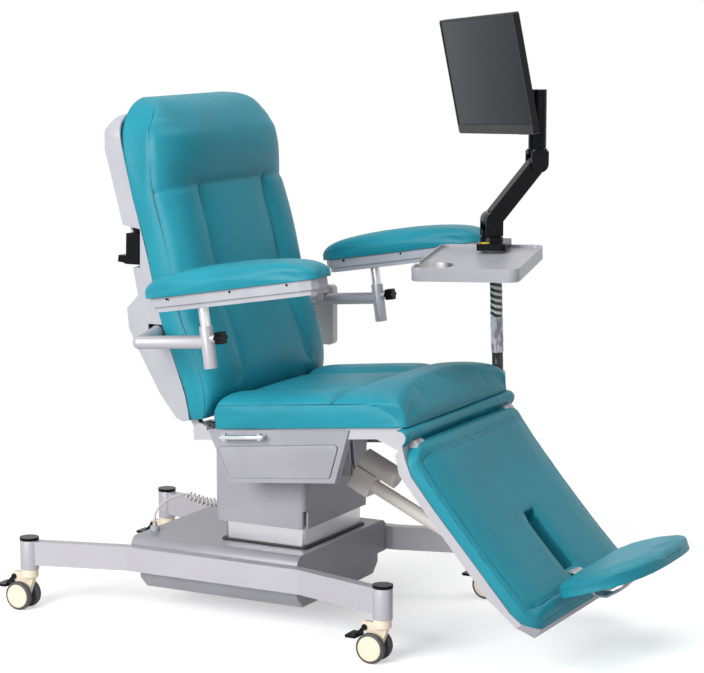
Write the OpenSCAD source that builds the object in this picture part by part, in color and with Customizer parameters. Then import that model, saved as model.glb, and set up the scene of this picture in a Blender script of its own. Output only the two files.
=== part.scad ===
// Reclining dialysis chair: lifting column, tilting seat, folding back, leg rest and monitor tray.
// Everything is drawn in the chair's own frame (x forward, y to its far side, z up), then turned
// once so that the chair faces -Y.

/* [Base] */
// Distance along the chair between the front and rear castor tubes
base_length = 1024; // [980:2:1080]
// Distance across the chair between the castor tubes
base_track = 660; // [640:2:720]
// Distance from the base's centre to the chair's zero line
base_set_back = 255; // [250:1:260]
// Outer diameter of the upright castor tubes
tube_dia = 48; // [42:1:54]
// Height of the castor tubes' lower end
tube_foot = 108; // [104:1:112]
// Length of the castor tubes
tube_length = 76; // [70:1:90]
// Height of the side rails
rail_height = 62; // [50:1:64]
// Thickness of the side rails
rail_thick = 30; // [24:1:32]
// Length of the straight middle of each side rail
rail_straight = 500; // [490:2:540]
// Length of the base cover
cover_length = 487; // [480:1:492]
// Width of the base cover
cover_width = 484; // [470:2:500]
// Height of the base cover's top
cover_top = 203; // [200:1:215]
// Wall of the moulded covers
cover_wall = 4; // [3:0.5:5]
// Rounding of the base cover's upper edges
cover_round = 26; // [20:1:40]

/* [Castors] */
// Diameter of the wheels
wheel_dia = 75; // [70:1:80]
// Width of one tread
tread_width = 17; // [14:1:19]
// Gap between the two treads of a castor
tread_gap = 24; // [22:1:26]
// Distance that the axle trails behind the swivel
castor_trail = 22; // [18:1:26]
// Diameter of the swivel stem
stem_dia = 16; // [12:1:20]
// Diameter of the wheel axle
axle_dia = 10; // [8:1:12]
// Length of the brake pedal
pedal_length = 46; // [40:1:56]

/* [Column] */
// Length of the fixed inner column
inner_length = 231; // [220:1:236]
// Width of the fixed inner column
inner_width = 308; // [290:2:314]
// Height of the inner column's top
inner_top = 412; // [400:1:414]
// Length of the sliding outer column
outer_length = 262; // [258:1:266]
// Width of the sliding outer column
outer_width = 348; // [340:2:356]
// Height of the outer column's lower edge
outer_foot = 256; // [250:1:262]
// Height of the outer column
outer_height = 212; // [206:1:216]
// Wall of the two columns
column_wall = 7; // [5:0.5:8]

/* [Seat] */
// Width of the seat, back and leg cushions
seat_width = 600; // [560:5:620]
// Depth of the seat cushion
seat_depth = 540; // [520:5:550]
// Height of the seat cushion's rear lower edge
seat_height = 515; // [510:1:522]
// Upward tilt of the seat's front
seat_tilt = 5.45; // [3:0.05:7]
// Height of the seat cushion's side up to its seam
seat_side = 60; // [50:1:64]
// Rise of the seat cushion's crown over its seam
seat_crown = 24; // [12:1:30]
// Height of the seat frame's side rails
seat_rail_height = 24; // [20:1:26]
// Thickness of the seat frame's side rails
seat_rail_thick = 25; // [20:1:28]
// Diameter of the shaft that the seat tilts on
tilt_shaft_dia = 20; // [16:1:24]
// Thickness of the side covers' skin
side_cover_wall = 5; // [3:0.5:6]
// Diameter of the side handles' bar
handle_dia = 12; // [9:0.5:14]

/* [Back] */
// Height of the back from its hinge to the top
back_height = 800; // [780:5:820]
// Thickness of the back cushion's side up to its seam
back_side = 58; // [50:1:64]
// Rise of the back cushion's crown over its seam
back_crown = 46; // [30:1:54]
// Wall of the moulded back shell
shell_wall = 5; // [4:0.5:6]
// Rounding of the back shell's upper corners
shell_round = 60; // [40:1:80]
// Diameter of the back and leg rest hinge pins
hinge_pin_dia = 20; // [16:1:22]
// Thickness of the back frame's side plates
back_plate = 20; // [14:1:20]

/* [Arms] */
// Distance of the armrests' centre from the chair's middle
arm_reach = 444; // [430:1:460]
// Outer diameter of the arm tubes
arm_tube_dia = 32; // [28:1:36]
// Diameter of the armrest posts
post_dia = 25; // [20:1:26]
// Length of the sleeves round the posts
sleeve_length = 101; // [90:1:110]
// Rearward lean of the posts
post_lean = 8; // [4:0.5:12]
// Length of an armrest pad
pad_length = 485; // [470:5:520]
// Width of an armrest pad
pad_width = 124; // [110:1:130]
// Height of an armrest pad's side
pad_side = 34; // [26:1:38]
// Rise of an armrest pad's crown
pad_crown = 20; // [10:1:24]
// Depth of the tray below an armrest pad
arm_tray_depth = 36; // [28:1:40]
// Upward tilt of the armrests' front
arm_tilt = 9.25; // [6:0.25:12]

/* [Leg rest] */
// Length of the leg rest
leg_length = 530; // [510:5:545]
// Angle of the leg rest below the horizontal
leg_angle = 51; // [46:1:56]
// Thickness of the leg pad's side up to its seam
leg_side = 31; // [24:1:36]
// Rise of the leg pad's crown
leg_crown = 18; // [8:1:24]
// Width of the slot for the foot bracket
slot_width = 60; // [54:1:70]
// Width of the foot pad
foot_width = 470; // [420:5:500]
// Depth of the foot pad
foot_depth = 228; // [200:2:240]
// Thickness of the foot pad
foot_thick = 26; // [20:1:32]
// Thickness of the foot bracket
foot_plate = 6; // [4:0.5:8]
// Width of the foot bracket
bracket_width = 50; // [40:1:52]

/* [Tray and pole] */
// Diameter of the pole
pole_dia = 25; // [22:1:30]
// Length of the pole below the tray's rim
pole_length = 374; // [360:2:390]
// Length of the tray along the pole's side
tray_length = 365; // [340:5:380]
// Width of the tray
tray_width = 272; // [250:2:300]
// Depth of the tray's wall
tray_depth = 33; // [26:1:36]
// Thickness of the tray's floor and walls
tray_wall = 4; // [3:0.5:5]
// Diameter of the tray's cup recess
cup_dia = 96; // [80:1:100]

/* [Monitor] */
// Width of the monitor
monitor_width = 505; // [480:5:530]
// Height of the monitor
monitor_height = 302; // [280:2:320]
// Thickness of the monitor's edge
monitor_thick = 17; // [14:1:22]
// Length of the monitor arm's link between its hinges
link_length = 189; // [180:1:200]
// Rise of the monitor arm's link over the horizontal
link_rise = 50; // [40:1:60]
// Diameter of the monitor arm's link
link_dia = 46; // [38:1:48]

/* [Actuators] */
// Diameter of the actuators' outer tubes
actuator_dia = 34; // [30:1:38]
// Diameter of the actuators' rods
rod_dia = 16; // [14:1:18]
// Diameter of the actuators' pivot pins
pivot_dia = 10; // [8:1:12]

/* [Fits] */
// Running clearance of a shaft in its bore, on the diameter
run_clear = 0.1; // [0.04:0.01:0.18]
// Gap between moving pieces that slide past each other
move_gap = 1; // [0.5:0.1:1.5]
// Gap that keeps a soft piece off what moves past it
soft_gap = 0.5; // [0.3:0.1:1]

/* [Hidden] */
$fn = 48;
over = 1;
chair_shift = 5.2;

// Base
base_l = -base_set_back;
base_half = base_length/2;
track_half = base_track/2;
rail_w = cover_width/2 + 1 + rail_thick/2;
rail_foot = 120;
tube_top = tube_foot + tube_length;
beam_width = 60;
beam_inset = 53.5;
beam_set = cover_length/2 - beam_inset;
beam_height = 30;
deck_thick = 8;
deck_top = rail_foot + beam_height + deck_thick;
cover_set_back = 14;
cover_rear = base_l - cover_length/2 - cover_set_back;
cover_front = cover_rear + cover_length;
cover_foot = 118;
tray_foot = 62;
tray_chamfer = 30;
tray_side_set = 22;
tray_end_set = 12;
cap_height = 8;
cap_over = 1;

// Castors
fork_thick = 16;
fork_boss_dia = 44;
fork_boss_height = 20;
fork_top = tube_foot - move_gap/2;
fork_web_shares = [[-0.62, 1.0], [0.26, 1.0], [0.20, 0.86], [-0.05, 0.36], [-0.20, 0.22],
    [-0.36, 0.22], [-0.46, 0.36], [-0.56, 0.76], [-0.72, 0.80], [-0.72, 0.92]];
brake_pin_dia = 6;
brake_pin_l = -44;
brake_pin_z = 84;
pedal_drop = 22;
brake_cheek = 4;
brake_hub_dia = 14;
pedal_width = 46;
pedal_thick = 6;
hub_share = 0.83;
hub_step = 2;
hub_bore_dia = 14;

// Column
column_front = -53;
inner_rear = column_front - inner_length;
outer_front = -41;
outer_rear = outer_front - outer_length;
outer_top = outer_foot + outer_height;
column_round = 18;
guide_width = 60;
guide_height = 40;
guide_gap = 0.5;
top_plate = 8;
lift_tube_dia = 70;
lift_screw_dia = 30;
lift_motor_dia = 80;
lift_motor_height = 90;
lift_screw_top = 398;
lift_ram_foot = 324;
lift_l = (inner_rear + column_front)/2;
notch_depth = 18;
notch_height = 46;

// Tilt hinge on the column
tilt_l = -172;
tilt_z = seat_height - 30;
yoke_plate = 6;
yoke_ear = 20;
yoke_ear_w = 130;
yoke_boss_dia = 34;
tilt_shaft_half = 205.5;

// Seat frame, in the seat's own tilted frame
seat_rear = -238;
cushion_set = 18;
pan_thick = 4;
seat_rail_w = 258;
rail_front_share = 0.965;
cross_shares = [0.02, 0.45, 0.85];
socket_arm_share = 0.86;
sub_rail_w = 190;
sub_rail_thick = 14;
sub_rail_height = 20;
cross_width = 22;
cross_height = 14;
hinge_boss_dia = 40;
leg_hinge_shares = [[-0.30, 1.14], [-2.25, 1.14], [-2.25, 0.55], [-0.30, -0.40], [0, 0], [-0.25, 0.40]];
handle_grip_l = 100;
handle_set = 59;
handle_drop = 13;
handle_over = 10;

// Hinges in the chair's frame
back_l = -275;
back_z = seat_height - 10;
leg_l = 306;
leg_z = seat_height + 2;
back_plate_w = 236;
leg_ear_w = 236;

// Side covers
side_cover_w = seat_rail_w + seat_rail_thick;
side_cover_shares = [[-0.463, -0.003], [0.265, 0.0553], [0.194, -0.190], [-0.349, -0.240]];
cover_return = 22;
cover_boss_dia = 16;
handle_rise = 26;

// Back
back_line_shares = [[-0.0280, 0.0350], [-0.0370, 0.0990], [-0.0840, 0.2300], [-0.1290, 0.3425],
    [-0.1775, 0.5575], [-0.2225, 0.7100], [-0.2600, 0.8640], [-0.2740, 0.9240], [-0.2725, 1.0200]];
shell_rear_shares = [[-0.2745, 0.9740], [-0.3000, 0.9625], [-0.3240, 0.9250], [-0.3240, 0.8638],
    [-0.2612, 0.6300], [-0.2263, 0.5000], [-0.2087, 0.4150], [-0.2500, 0.3713], [-0.2437, 0.3088],
    [-0.2037, 0.2325], [-0.1325, 0.1113], [-0.0750, 0.0400], [-0.0488, 0.0300]];
shell_inner_shares = [[-0.2745, 0.9640], [-0.3130, 0.9150], [-0.3155, 0.8600], [-0.2530, 0.6310],
    [-0.2185, 0.5010], [-0.2005, 0.4120], [-0.2400, 0.3690], [-0.2350, 0.3110],
    [-0.1950, 0.2360], [-0.1250, 0.1160], [-0.0680, 0.0400]];
upright_shares = [[-0.0240, 0.0188], [-0.0540, 0.0690], [-0.1190, 0.2875], [-0.1830, 0.4940],
    [-0.2410, 0.7690], [-0.2770, 0.9250], [-0.2980, 0.9250], [-0.2660, 0.7690], [-0.2080, 0.4940],
    [-0.1540, 0.2875], [-0.0840, 0.0690], [-0.0350, -0.0100], [0.0000, -0.0300], [0.0280, 0.0000]];
shell_notch_w = back_plate_w + back_plate + 1.5*move_gap;
shell_notch_top = back_z + 61;
arm_axis_l = -388;
arm_axis_z = back_z + 243;
arm_slot_length = 50;
lug_w = 222;
lug_thick = 16;
cpr_l = -494;
cpr_z = back_z + 421;
cpr_bar_dia = 12;
grip_height = 84;
grip_width = 26;
grip_w = 273;
grip_shares = [[-0.09, -0.10], [0.10, -0.12], [0.20, -0.16], [0.64, -0.16], [0.66, 0.78], [0.22, 0.76],
    [0.20, 0.10], [-0.06, 0.10]];
grip_notch_shares = [[-0.60, -0.24], [0.70, -0.24], [0.72, 0.90], [-0.60, 1.12]];
bar_z_shares = [0.14, 0.52, 0.88];
back_bar_dia = 16;
back_wall = 4;
lug_reach = 34;

// Arms
sleeve_l = -151;
sleeve_z = back_z + 242;
bend_l = -345;
bend_z = back_z + 240;
post_below = 0;
post_above = 48;
pad_l = -72.3;
pad_z = back_z + 390.2;
knob_dia = 30;
knob_length = 22;
knob_lobes = 6;
knob_rise = 20;
knob_boss = 9;
post_socket = 30;
knob_screw_dia = 6;
crank_length = 36;
crank_angle = 240;
elbow_swell = 2;
level_link_w = 214;
level_link_thick = 12;
level_link_width = 20;
handset_length = 62;
handset_thick = 26;
handset_height = 165;
handset_l = -334;
handset_top = back_z + 277;
hook_half = 8;
hook_l = handset_l + 15;
handset_hook = 6;
arm_tray_inset = 10;
arm_tray_shares = [[-0.5, 0.20], [-0.47, 0.32], [-0.40, 0.41], [-0.25, 0.47], [0.30, 0.5],
    [0.42, 0.47], [0.48, 0.38], [0.5, 0.22]];

// Leg rest, in its own frame: x down the leg rest, z out of its face
leg_back_shares = [[-0.0106, -0.0521], [0.0713, -0.0919], [0.2764, -0.0906], [0.7434, -0.0779],
    [0.9377, -0.0362], [0.9970, -0.0340]];
leg_base_shares = [[-0.0220, 0.0020], [0.0787, -0.0472], [0.1960, -0.0519], [0.8920, -0.0236],
    [0.9840, 0.0240]];
leg_half_share = 1.05;
slot_top_share = 0.52;
slot_end_share = 0.847;
leg_pivot_x = 313;
leg_pivot_drop = 135;
foot_x = 510;
foot_out = 165;
foot_turn = 69.5;
foot_line_shares = [[0.828, -0.090], [0.828, 0.047], [0.842, 0.072], [0.872, 0.084], [0.943, 0.089],
    [0.990, 0.102], [1.019, 0.142], [1.028, 0.208], [1.021, 0.283], [1.015, 0.358]];
flap_line_shares = [[-0.026, 0.0032], [0.004, 0.0032], [0.016, 0.0070], [0.021, 0.0130]];
flap_thick = 2.4;
leg_corner = 60;
rest_gap = 0.05;
leg_ear_shares = [[0, -0.034], [0.075, -0.091], [0.208, -0.091], [0.208, -0.056], [0.060, -0.052],
    [0.026, -0.026]];
clevis_shares = [[0.530, -0.0425], [0.655, -0.0370], [0.622, -0.285], [0.560, -0.285]];
guide_run = 14;
guide_lip = 5;
guide_inset = 1;
slider_thick = 16;
slider_length = 50;

// Actuators
leg_rear_l = -8;
leg_rear_z = seat_height - 134;
leg_tube_length = 372;
leg_rod_length = 340;
tilt_rear_l = -230;
tilt_rear_z = outer_top - 28;
tilt_tube_length = 210;
tilt_rod_length = 150;
tilt_side_w = 231.5;
tilt_front_l = 60;
tilt_front_z = seat_height - 15;
gear_length = 80;
gear_width = 46;
gear_height = 60;
motor_dia = 54;
motor_length = 104;
clevis_thick = 6;
eye_dia = 26;
eye_width = 16;
drive_length = 40;
drive_width = 30;
drive_height = 34;
drive_motor_dia = 28;
drive_motor_length = 80;

// Tray and pole
pole_l = 245.2;
pole_w = 326.4;
pole_z = seat_height + 415.6;
pole_yaw = 12.96;
pole_lean = 3.46;
pole_roll = -1.1;
tray_fore_share = 0.442;
tray_far_share = 0.123;
floor_drop = 8;
cup_depth = 30;
cup_x_share = -0.338;
cup_y_share = -0.62;
box_x_share = 0.16;
box_y_share = -0.80;
box_length = 46;
box_width = 30;
tray_corner = 26;
hub_dia = 40;
hub_length = 58;
socket_dia = 40;
socket_height = 46;
wrap_dia = 33;
wrap_end_share = 0.60;

// Monitor arm
clamp_length = 95;
clamp_width = 76;
clamp_height = 18;
arm_azimuth = 42.7;
shoulder_z = pole_z + 69.4;
foot_flare_dia = 60;
shoulder_dia = 40;
cheek_thick = 6;
cheek_set = 20;
neck_dia = 32;
neck_top = shoulder_z + 318;
screen_yaw = -43.1;
screen_tilt = 10.3;
screen_roll = -3;
screen_back = 148;
screen_z = shoulder_z + 371;
tilt_hinge_back = 62;
tilt_hinge_z = shoulder_z + 345;
shoulder_l = 235;
spindle_dia = 20;
spindle_foot = pole_z + 9.4;
spindle_top = pole_z + 26.4;
arm_pin_dia = 12;
bracket_half = 22;
screen_inset = 5;
screen_chin = 24;
screen_depth = 2;
bulge_width_share = 0.62;
bulge_height_share = 0.66;
bulge_depth = 26;

// Curly cord: start on the base cover, lead and curls up to the column
curl_count = 11;
curl_radius = 9.4;
cord_dia = 5;
cord_start = [-492, -160, 226];
cord_lead = [[-492, -160, 232], [-490, -158, 250], [-478, -148, 272], [-458, -134, 288],
    [-436, -116, 295]];
cord_axis = [[-430, -110, 296], [-405, -98, 286], [-375, -86, 277], [-345, -76, 276], [-322, -70, 284]];
cord_plug_dia = 12;
cord_run_in = 9;
cord_reference = [0.2, 0.3, 0.93];
ring_step = 6;

// Helpers

module chair() translate([0, chair_shift, 0]) rotate([0, 0, -90]) children();

module on_seat() translate([seat_rear, 0, seat_height]) rotate([0, -seat_tilt, 0]) children();

module on_leg() translate([leg_l, 0, leg_z]) rotate([0, leg_angle, 0]) children();

module on_foot() on_leg() translate([foot_x, 0, foot_out]) rotate([0, -foot_turn, 0]) children();

module on_arm(side) translate([pad_l, side*arm_reach, pad_z]) rotate([0, -arm_tilt, 0]) children();

module on_pole() translate([pole_l, pole_w, pole_z]) rotate([0, 0, pole_yaw])
    rotate([pole_lean, 0, 0]) rotate([0, pole_roll, 0]) children();

module side_slab(points, w0, w1) translate([0, w1, 0]) rotate([90, 0, 0])
    linear_extrude(w1 - w0) polygon(points);

module bar(l0, l1, w0, w1, z0, z1) translate([l0, w0, z0]) cube([l1 - l0, w1 - w0, z1 - z0]);

module cross_rod(dia, w0, w1, l, z) translate([l, w1, z]) rotate([90, 0, 0])
    cylinder(d = dia, h = w1 - w0);

module long_rod(dia, l0, l1, w, z) translate([l0, w, z]) rotate([0, 90, 0])
    cylinder(d = dia, h = l1 - l0);

module up_rod(dia, z0, z1, l, w) translate([l, w, z0]) cylinder(d = dia, h = z1 - z0);

module round_plate(length, width, corner) {
    square([length - 2*corner, width], center = true);
    square([length, width - 2*corner], center = true);
    for (x = [-1, 1], y = [-1, 1])
        translate([x*(length/2 - corner), y*(width/2 - corner)]) circle(corner);
}

module mirror_w() {
    children();
    mirror([0, 1, 0]) children();
}

module tube_between(start, end, dia) {
    d = end - start;
    flat = norm([d[0], d[1]]);
    translate(start) rotate([0, atan2(flat, d[2]), atan2(d[1], d[0])]) cylinder(d = dia, h = norm(d));
}

function scaled(shares, length, origin) = [for (p = shares) origin + p*length];

function unit(v) = v/norm(v);

function turned(v) = [-v[1], v[0]];

function way(line, i) = unit(line[min(i + 1, len(line) - 1)] - line[max(i - 1, 0)]);

// A strip of even thickness along a line of points
function band(line, thick) = concat(
    [for (i = [0:len(line) - 1]) line[i] + turned(way(line, i))*thick/2],
    [for (i = [len(line) - 1:-1:0]) line[i] - turned(way(line, i))*thick/2]);

function reach(line, i) = i == 0 ? 0 : reach(line, i - 1) + norm(line[i] - line[i - 1]);

function along(line, s, i = 1) =
    i >= len(line) - 1 || reach(line, i) >= s*reach(line, len(line) - 1)
    ? line[i - 1] + (line[i] - line[i - 1])
        *(s*reach(line, len(line) - 1) - reach(line, i - 1))/norm(line[i] - line[i - 1])
    : along(line, s, i + 1);

function middle(ring) = [for (k = [0:2]) [for (p = ring) p[k]]*[for (p = ring) 1/len(ring)]];

// A closed solid through rings of equal count
module loft(rings) {
    n = len(rings);
    m = len(rings[0]);
    points = concat([for (r = rings) each r], [middle(rings[0]), middle(rings[n - 1])]);
    skin = [for (i = [0:n - 2], j = [0:m - 1]) each [
        [i*m + j, (i + 1)*m + j, i*m + (j + 1)%m],
        [i*m + (j + 1)%m, (i + 1)*m + j, (i + 1)*m + (j + 1)%m]]];
    first = [for (j = [0:m - 1]) [n*m, j, (j + 1)%m]];
    last = [for (j = [0:m - 1]) [n*m + 1, (n - 1)*m + (j + 1)%m, (n - 1)*m + j]];
    polyhedron(points, concat(skin, first, last));
}

// Places across a cushion and the height of its crown there, plain and with a sunk middle panel
across_shares = [0, 0.20, 0.38, 0.48, 0.52, 0.56, 0.66, 0.78, 0.88, 0.95, 0.985, 1];
plain_shares = [1, 1, 0.99, 0.985, 0.98, 0.975, 0.96, 0.93, 0.84, 0.64, 0.36, 0];
panel_shares = [0.62, 0.62, 0.60, 0.52, 0.34, 0.62, 0.92, 1, 0.92, 0.70, 0.40, 0];
near_share = 0.02;
draw_in_share = 0.985;
foot_in_share = 0.992;

// One ring of a cushion: across the width, over the crown and back along its foot
function cushion_ring(half, side, crown, panel) = let (n = len(across_shares) - 1) concat(
    [for (i = [n:-1:1]) [-half*across_shares[i],
        side + crown*(plain_shares[i]*(1 - panel) + panel_shares[i]*panel)]],
    [for (i = [0:n]) [half*across_shares[i],
        side + crown*(plain_shares[i]*(1 - panel) + panel_shares[i]*panel)]],
    [[half*draw_in_share, side/2], [half*foot_in_share, 0], [0, 0], [-half*foot_in_share, 0],
        [-half*draw_in_share, side/2]]);

// A cushion along a line in the chair's side view; stations give [way, side, crown, panel, width]
module cushion(line, half, side, crown, stations, out) loft([for (row = stations) let (
    place = along(line, row[0]),
    ahead = unit(along(line, min(row[0] + near_share, 1)) - along(line, max(row[0] - near_share, 0))),
    face = out*turned(ahead))
    [for (q = cushion_ring(half*row[4], side*row[1], crown*row[2], row[3]))
        [place[0] + face[0]*q[1], -out*q[0], place[1] + face[1]*q[1]]]]);

seat_station_shares = [[0, 0.80, 0.05, 1, 0.97], [0.015, 1, 0.55, 1, 0.99], [0.05, 1, 0.90, 1, 1],
    [0.14, 1, 1, 1, 1], [0.30, 1, 1, 1, 1], [0.46, 1, 1, 1, 1], [0.57, 1, 0.98, 0.95, 1],
    [0.61, 1, 0.90, 0.60, 1], [0.635, 1, 0.62, 0.30, 1], [0.66, 1, 0.92, 0.10, 1],
    [0.72, 1, 1.05, 0, 1], [0.80, 1, 1.10, 0, 1], [0.88, 1, 1.04, 0, 1], [0.935, 0.98, 0.86, 0, 1],
    [0.97, 0.90, 0.60, 0, 0.995], [0.99, 0.74, 0.30, 0, 0.985], [1, 0.52, 0.05, 0, 0.97]];
back_station_shares = [[0, 0.72, 0.05, 0, 0.98], [0.012, 0.90, 0.16, 0, 0.99],
    [0.035, 0.98, 0.34, 0.2, 1], [0.08, 1, 0.62, 0.6, 1], [0.16, 1, 0.96, 1, 1], [0.26, 1, 1.04, 1, 1],
    [0.38, 1, 1, 1, 1], [0.50, 1, 1, 1, 1], [0.60, 1.02, 1, 1, 1], [0.67, 1.04, 0.98, 0.7, 1],
    [0.695, 1.05, 0.86, 0.3, 1], [0.72, 1.08, 0.94, 0, 1], [0.79, 1.22, 0.86, 0, 1],
    [0.86, 1.38, 0.70, 0, 0.998], [0.92, 1.45, 0.52, 0, 0.99], [0.96, 1.34, 0.36, 0, 0.97],
    [0.985, 1.12, 0.20, 0, 0.945], [1, 0.80, 0.05, 0, 0.91]];
leg_station_shares = [[0, 0.70, 0.05, 0, 0.93], [0.02, 0.92, 0.45, 0, 0.97], [0.06, 1, 0.82, 0, 0.995],
    [0.14, 1, 1, 0, 1], [0.30, 1, 1, 0, 1], [0.50, 1, 1, 0, 1], [0.70, 1, 1, 0, 1], [0.86, 1, 1, 0, 0.995],
    [0.93, 1, 0.88, 0, 0.98], [0.97, 0.95, 0.62, 0, 0.955], [0.99, 0.82, 0.34, 0, 0.925],
    [1, 0.62, 0.05, 0, 0.89]];
pad_station_shares = [[0, 0.40, 0.05, 0, 0.30], [0.012, 0.66, 0.35, 0, 0.48], [0.035, 0.84, 0.62, 0, 0.64],
    [0.08, 0.95, 0.85, 0, 0.80], [0.16, 1, 1, 0, 0.92], [0.30, 1, 1, 0, 0.98], [0.50, 1, 1, 0, 1],
    [0.70, 1, 1, 0, 1], [0.84, 1, 1, 0, 0.98], [0.92, 0.98, 0.90, 0, 0.92], [0.965, 0.88, 0.66, 0, 0.80],
    [0.99, 0.66, 0.36, 0, 0.60], [1, 0.40, 0.05, 0, 0.40]];
foot_station_shares = [[0, 0.45, 0.05, 0, 0.62], [0.03, 0.72, 0.42, 0, 0.74], [0.10, 0.92, 0.76, 0, 0.86],
    [0.22, 1, 0.95, 0, 0.96], [0.38, 1, 1, 0, 1], [0.62, 1, 1, 0, 1], [0.78, 1, 0.95, 0, 0.96],
    [0.90, 0.92, 0.76, 0, 0.86], [0.97, 0.72, 0.42, 0, 0.74], [1, 0.45, 0.05, 0, 0.62]];

// A place of the chair's frame in the seat's frame, and one of the leg rest's in the chair's
function seat_at(l, z) = [(l - seat_rear)*cos(seat_tilt) + (z - seat_height)*sin(seat_tilt),
    (z - seat_height)*cos(seat_tilt) - (l - seat_rear)*sin(seat_tilt)];
function leg_out(x, z) = [leg_l + x*cos(leg_angle) + z*sin(leg_angle),
    leg_z - x*sin(leg_angle) + z*cos(leg_angle)];

tilt_at = seat_at(tilt_l, tilt_z);
back_at = seat_at(back_l, back_z);
leg_at = seat_at(leg_l, leg_z);
leg_mount = seat_at(leg_rear_l, leg_rear_z);
tilt_mount = seat_at(tilt_front_l, tilt_front_z);
leg_pull = leg_out(leg_pivot_x, -leg_pivot_drop) - [leg_rear_l, leg_rear_z];
leg_fore_angle = atan2(leg_pull[1], leg_pull[0]);
leg_pivot_gap = norm(leg_pull);
tilt_pull = [tilt_front_l - tilt_rear_l, tilt_front_z - tilt_rear_z];
tilt_fore_angle = atan2(tilt_pull[1], tilt_pull[0]);
tilt_pivot_gap = norm(tilt_pull);
hinge_origin = [back_l, back_z];
back_line = scaled(back_line_shares, back_height, hinge_origin);
leg_base = scaled(leg_base_shares, leg_length, [0, 0]);

// Base

module base_rail() {
    step = rail_straight/2;
    line = [[-base_half, track_half], [-step, rail_w], [step, rail_w], [base_half, track_half]];
    translate([base_l, 0, rail_foot]) linear_extrude(rail_height) polygon(concat(
        [for (p = line) p + [0, rail_thick/2]],
        [for (i = [3:-1:0]) line[i] - [0, rail_thick/2]]));
}

module base_frame() color("silver") difference() {
    union() {
        mirror_w() base_rail();
        for (x = [-1, 1], y = [-1, 1])
            up_rod(tube_dia, tube_foot, tube_top, base_l + x*base_half, y*track_half);
        for (x = [-1, 1]) bar(base_l + x*beam_set - beam_width/2, base_l + x*beam_set + beam_width/2,
            -rail_w, rail_w, rail_foot, rail_foot + beam_height);
        bar(base_l - beam_set - beam_width/2, base_l + beam_set + beam_width/2,
            -inner_width/2 - cover_round, inner_width/2 + cover_round, deck_top - deck_thick, deck_top);
    }
    for (x = [-1, 1], y = [-1, 1]) up_rod(stem_dia + run_clear, tube_foot - over,
        tube_foot + tube_length*0.8, base_l + x*base_half, y*track_half);
}

module tube_caps() color("black") for (x = [-1, 1], y = [-1, 1])
    up_rod(tube_dia + 2*cap_over, tube_top, tube_top + cap_height, base_l + x*base_half, y*track_half);

module cover_outline(wall) {
    half = cover_width/2 - wall;
    top = cover_top - wall;
    corner = cover_round - wall;
    translate([-half, cover_foot - over]) square([2*half, top - corner - cover_foot + over]);
    translate([-half + corner, cover_foot - over]) square([2*(half - corner), top - cover_foot + over]);
    for (y = [-1, 1]) translate([y*(half - corner), top - corner]) circle(corner);
}

module base_cover() color("silver") difference() {
    intersection() {
        translate([cover_rear, 0, 0]) rotate([90, 0, 90]) linear_extrude(cover_length) cover_outline(0);
        bar(cover_rear, cover_front, -cover_width/2, cover_width/2, cover_foot, cover_top);
    }
    translate([cover_rear + cover_wall, 0, 0]) rotate([90, 0, 90])
        linear_extrude(cover_length - 2*cover_wall) cover_outline(cover_wall);
    bar(inner_rear - move_gap, column_front + move_gap, -inner_width/2 - move_gap,
        inner_width/2 + move_gap, cover_top - 2*cover_wall, cover_top + over);
    for (x = [-1, 1]) bar(base_l + x*beam_set - beam_width/2 - move_gap,
        base_l + x*beam_set + beam_width/2 + move_gap, -rail_w, rail_w, cover_foot - over,
        rail_foot + beam_height + move_gap);
}

module base_tray() color("silver") {
    half = cover_width/2 - tray_side_set;
    inner = half - cover_wall;
    l0 = cover_rear + tray_end_set;
    l1 = cover_front - tray_end_set;
    difference() {
        translate([l0, 0, 0]) rotate([90, 0, 90]) linear_extrude(l1 - l0) polygon([
            [-half, cover_foot], [-half, tray_foot + tray_chamfer], [-half + tray_chamfer, tray_foot],
            [half - tray_chamfer, tray_foot], [half, tray_foot + tray_chamfer], [half, cover_foot]]);
        translate([l0 + cover_wall, 0, 0]) rotate([90, 0, 90]) linear_extrude(l1 - l0 - 2*cover_wall)
            polygon([[-inner, cover_foot + over], [-inner, tray_foot + tray_chamfer + cover_wall/2],
            [-inner + tray_chamfer, tray_foot + cover_wall], [inner - tray_chamfer, tray_foot + cover_wall],
            [inner, tray_foot + tray_chamfer + cover_wall/2], [inner, cover_foot + over]]);
    }
    mirror_w() bar(l0, l1, half - cover_wall, cover_width/2, cover_foot - cover_wall, cover_foot);
}

module cord_socket() color("dimgray") {
    at = cord_start;
    up_rod(cord_plug_dia*2, cover_top, cover_top + cord_plug_dia, at[0], at[1]);
    up_rod(cord_plug_dia, cover_top + cord_plug_dia, at[2], at[0], at[1]);
}

// Castors

module castor_place(x, y) translate([base_l + x*base_half, y*track_half, 0]) children();

module castor_fork(x, y) color("wheat") castor_place(x, y) difference() {
    web_top = fork_top - fork_boss_height/2;
    union() {
        up_rod(stem_dia, fork_top - over, tube_foot + tube_length*0.75, 0, 0);
        up_rod(fork_boss_dia, fork_top - fork_boss_height, fork_top, 0, 0);
        side_slab([for (p = fork_web_shares) [p[0]*wheel_dia, p[1]*web_top]], -fork_thick/2, fork_thick/2);
    }
    cross_rod(axle_dia + run_clear, -fork_thick, fork_thick, -castor_trail, wheel_dia/2);
    cross_rod(brake_pin_dia + run_clear, -fork_thick, fork_thick, brake_pin_l, brake_pin_z);
}

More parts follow.
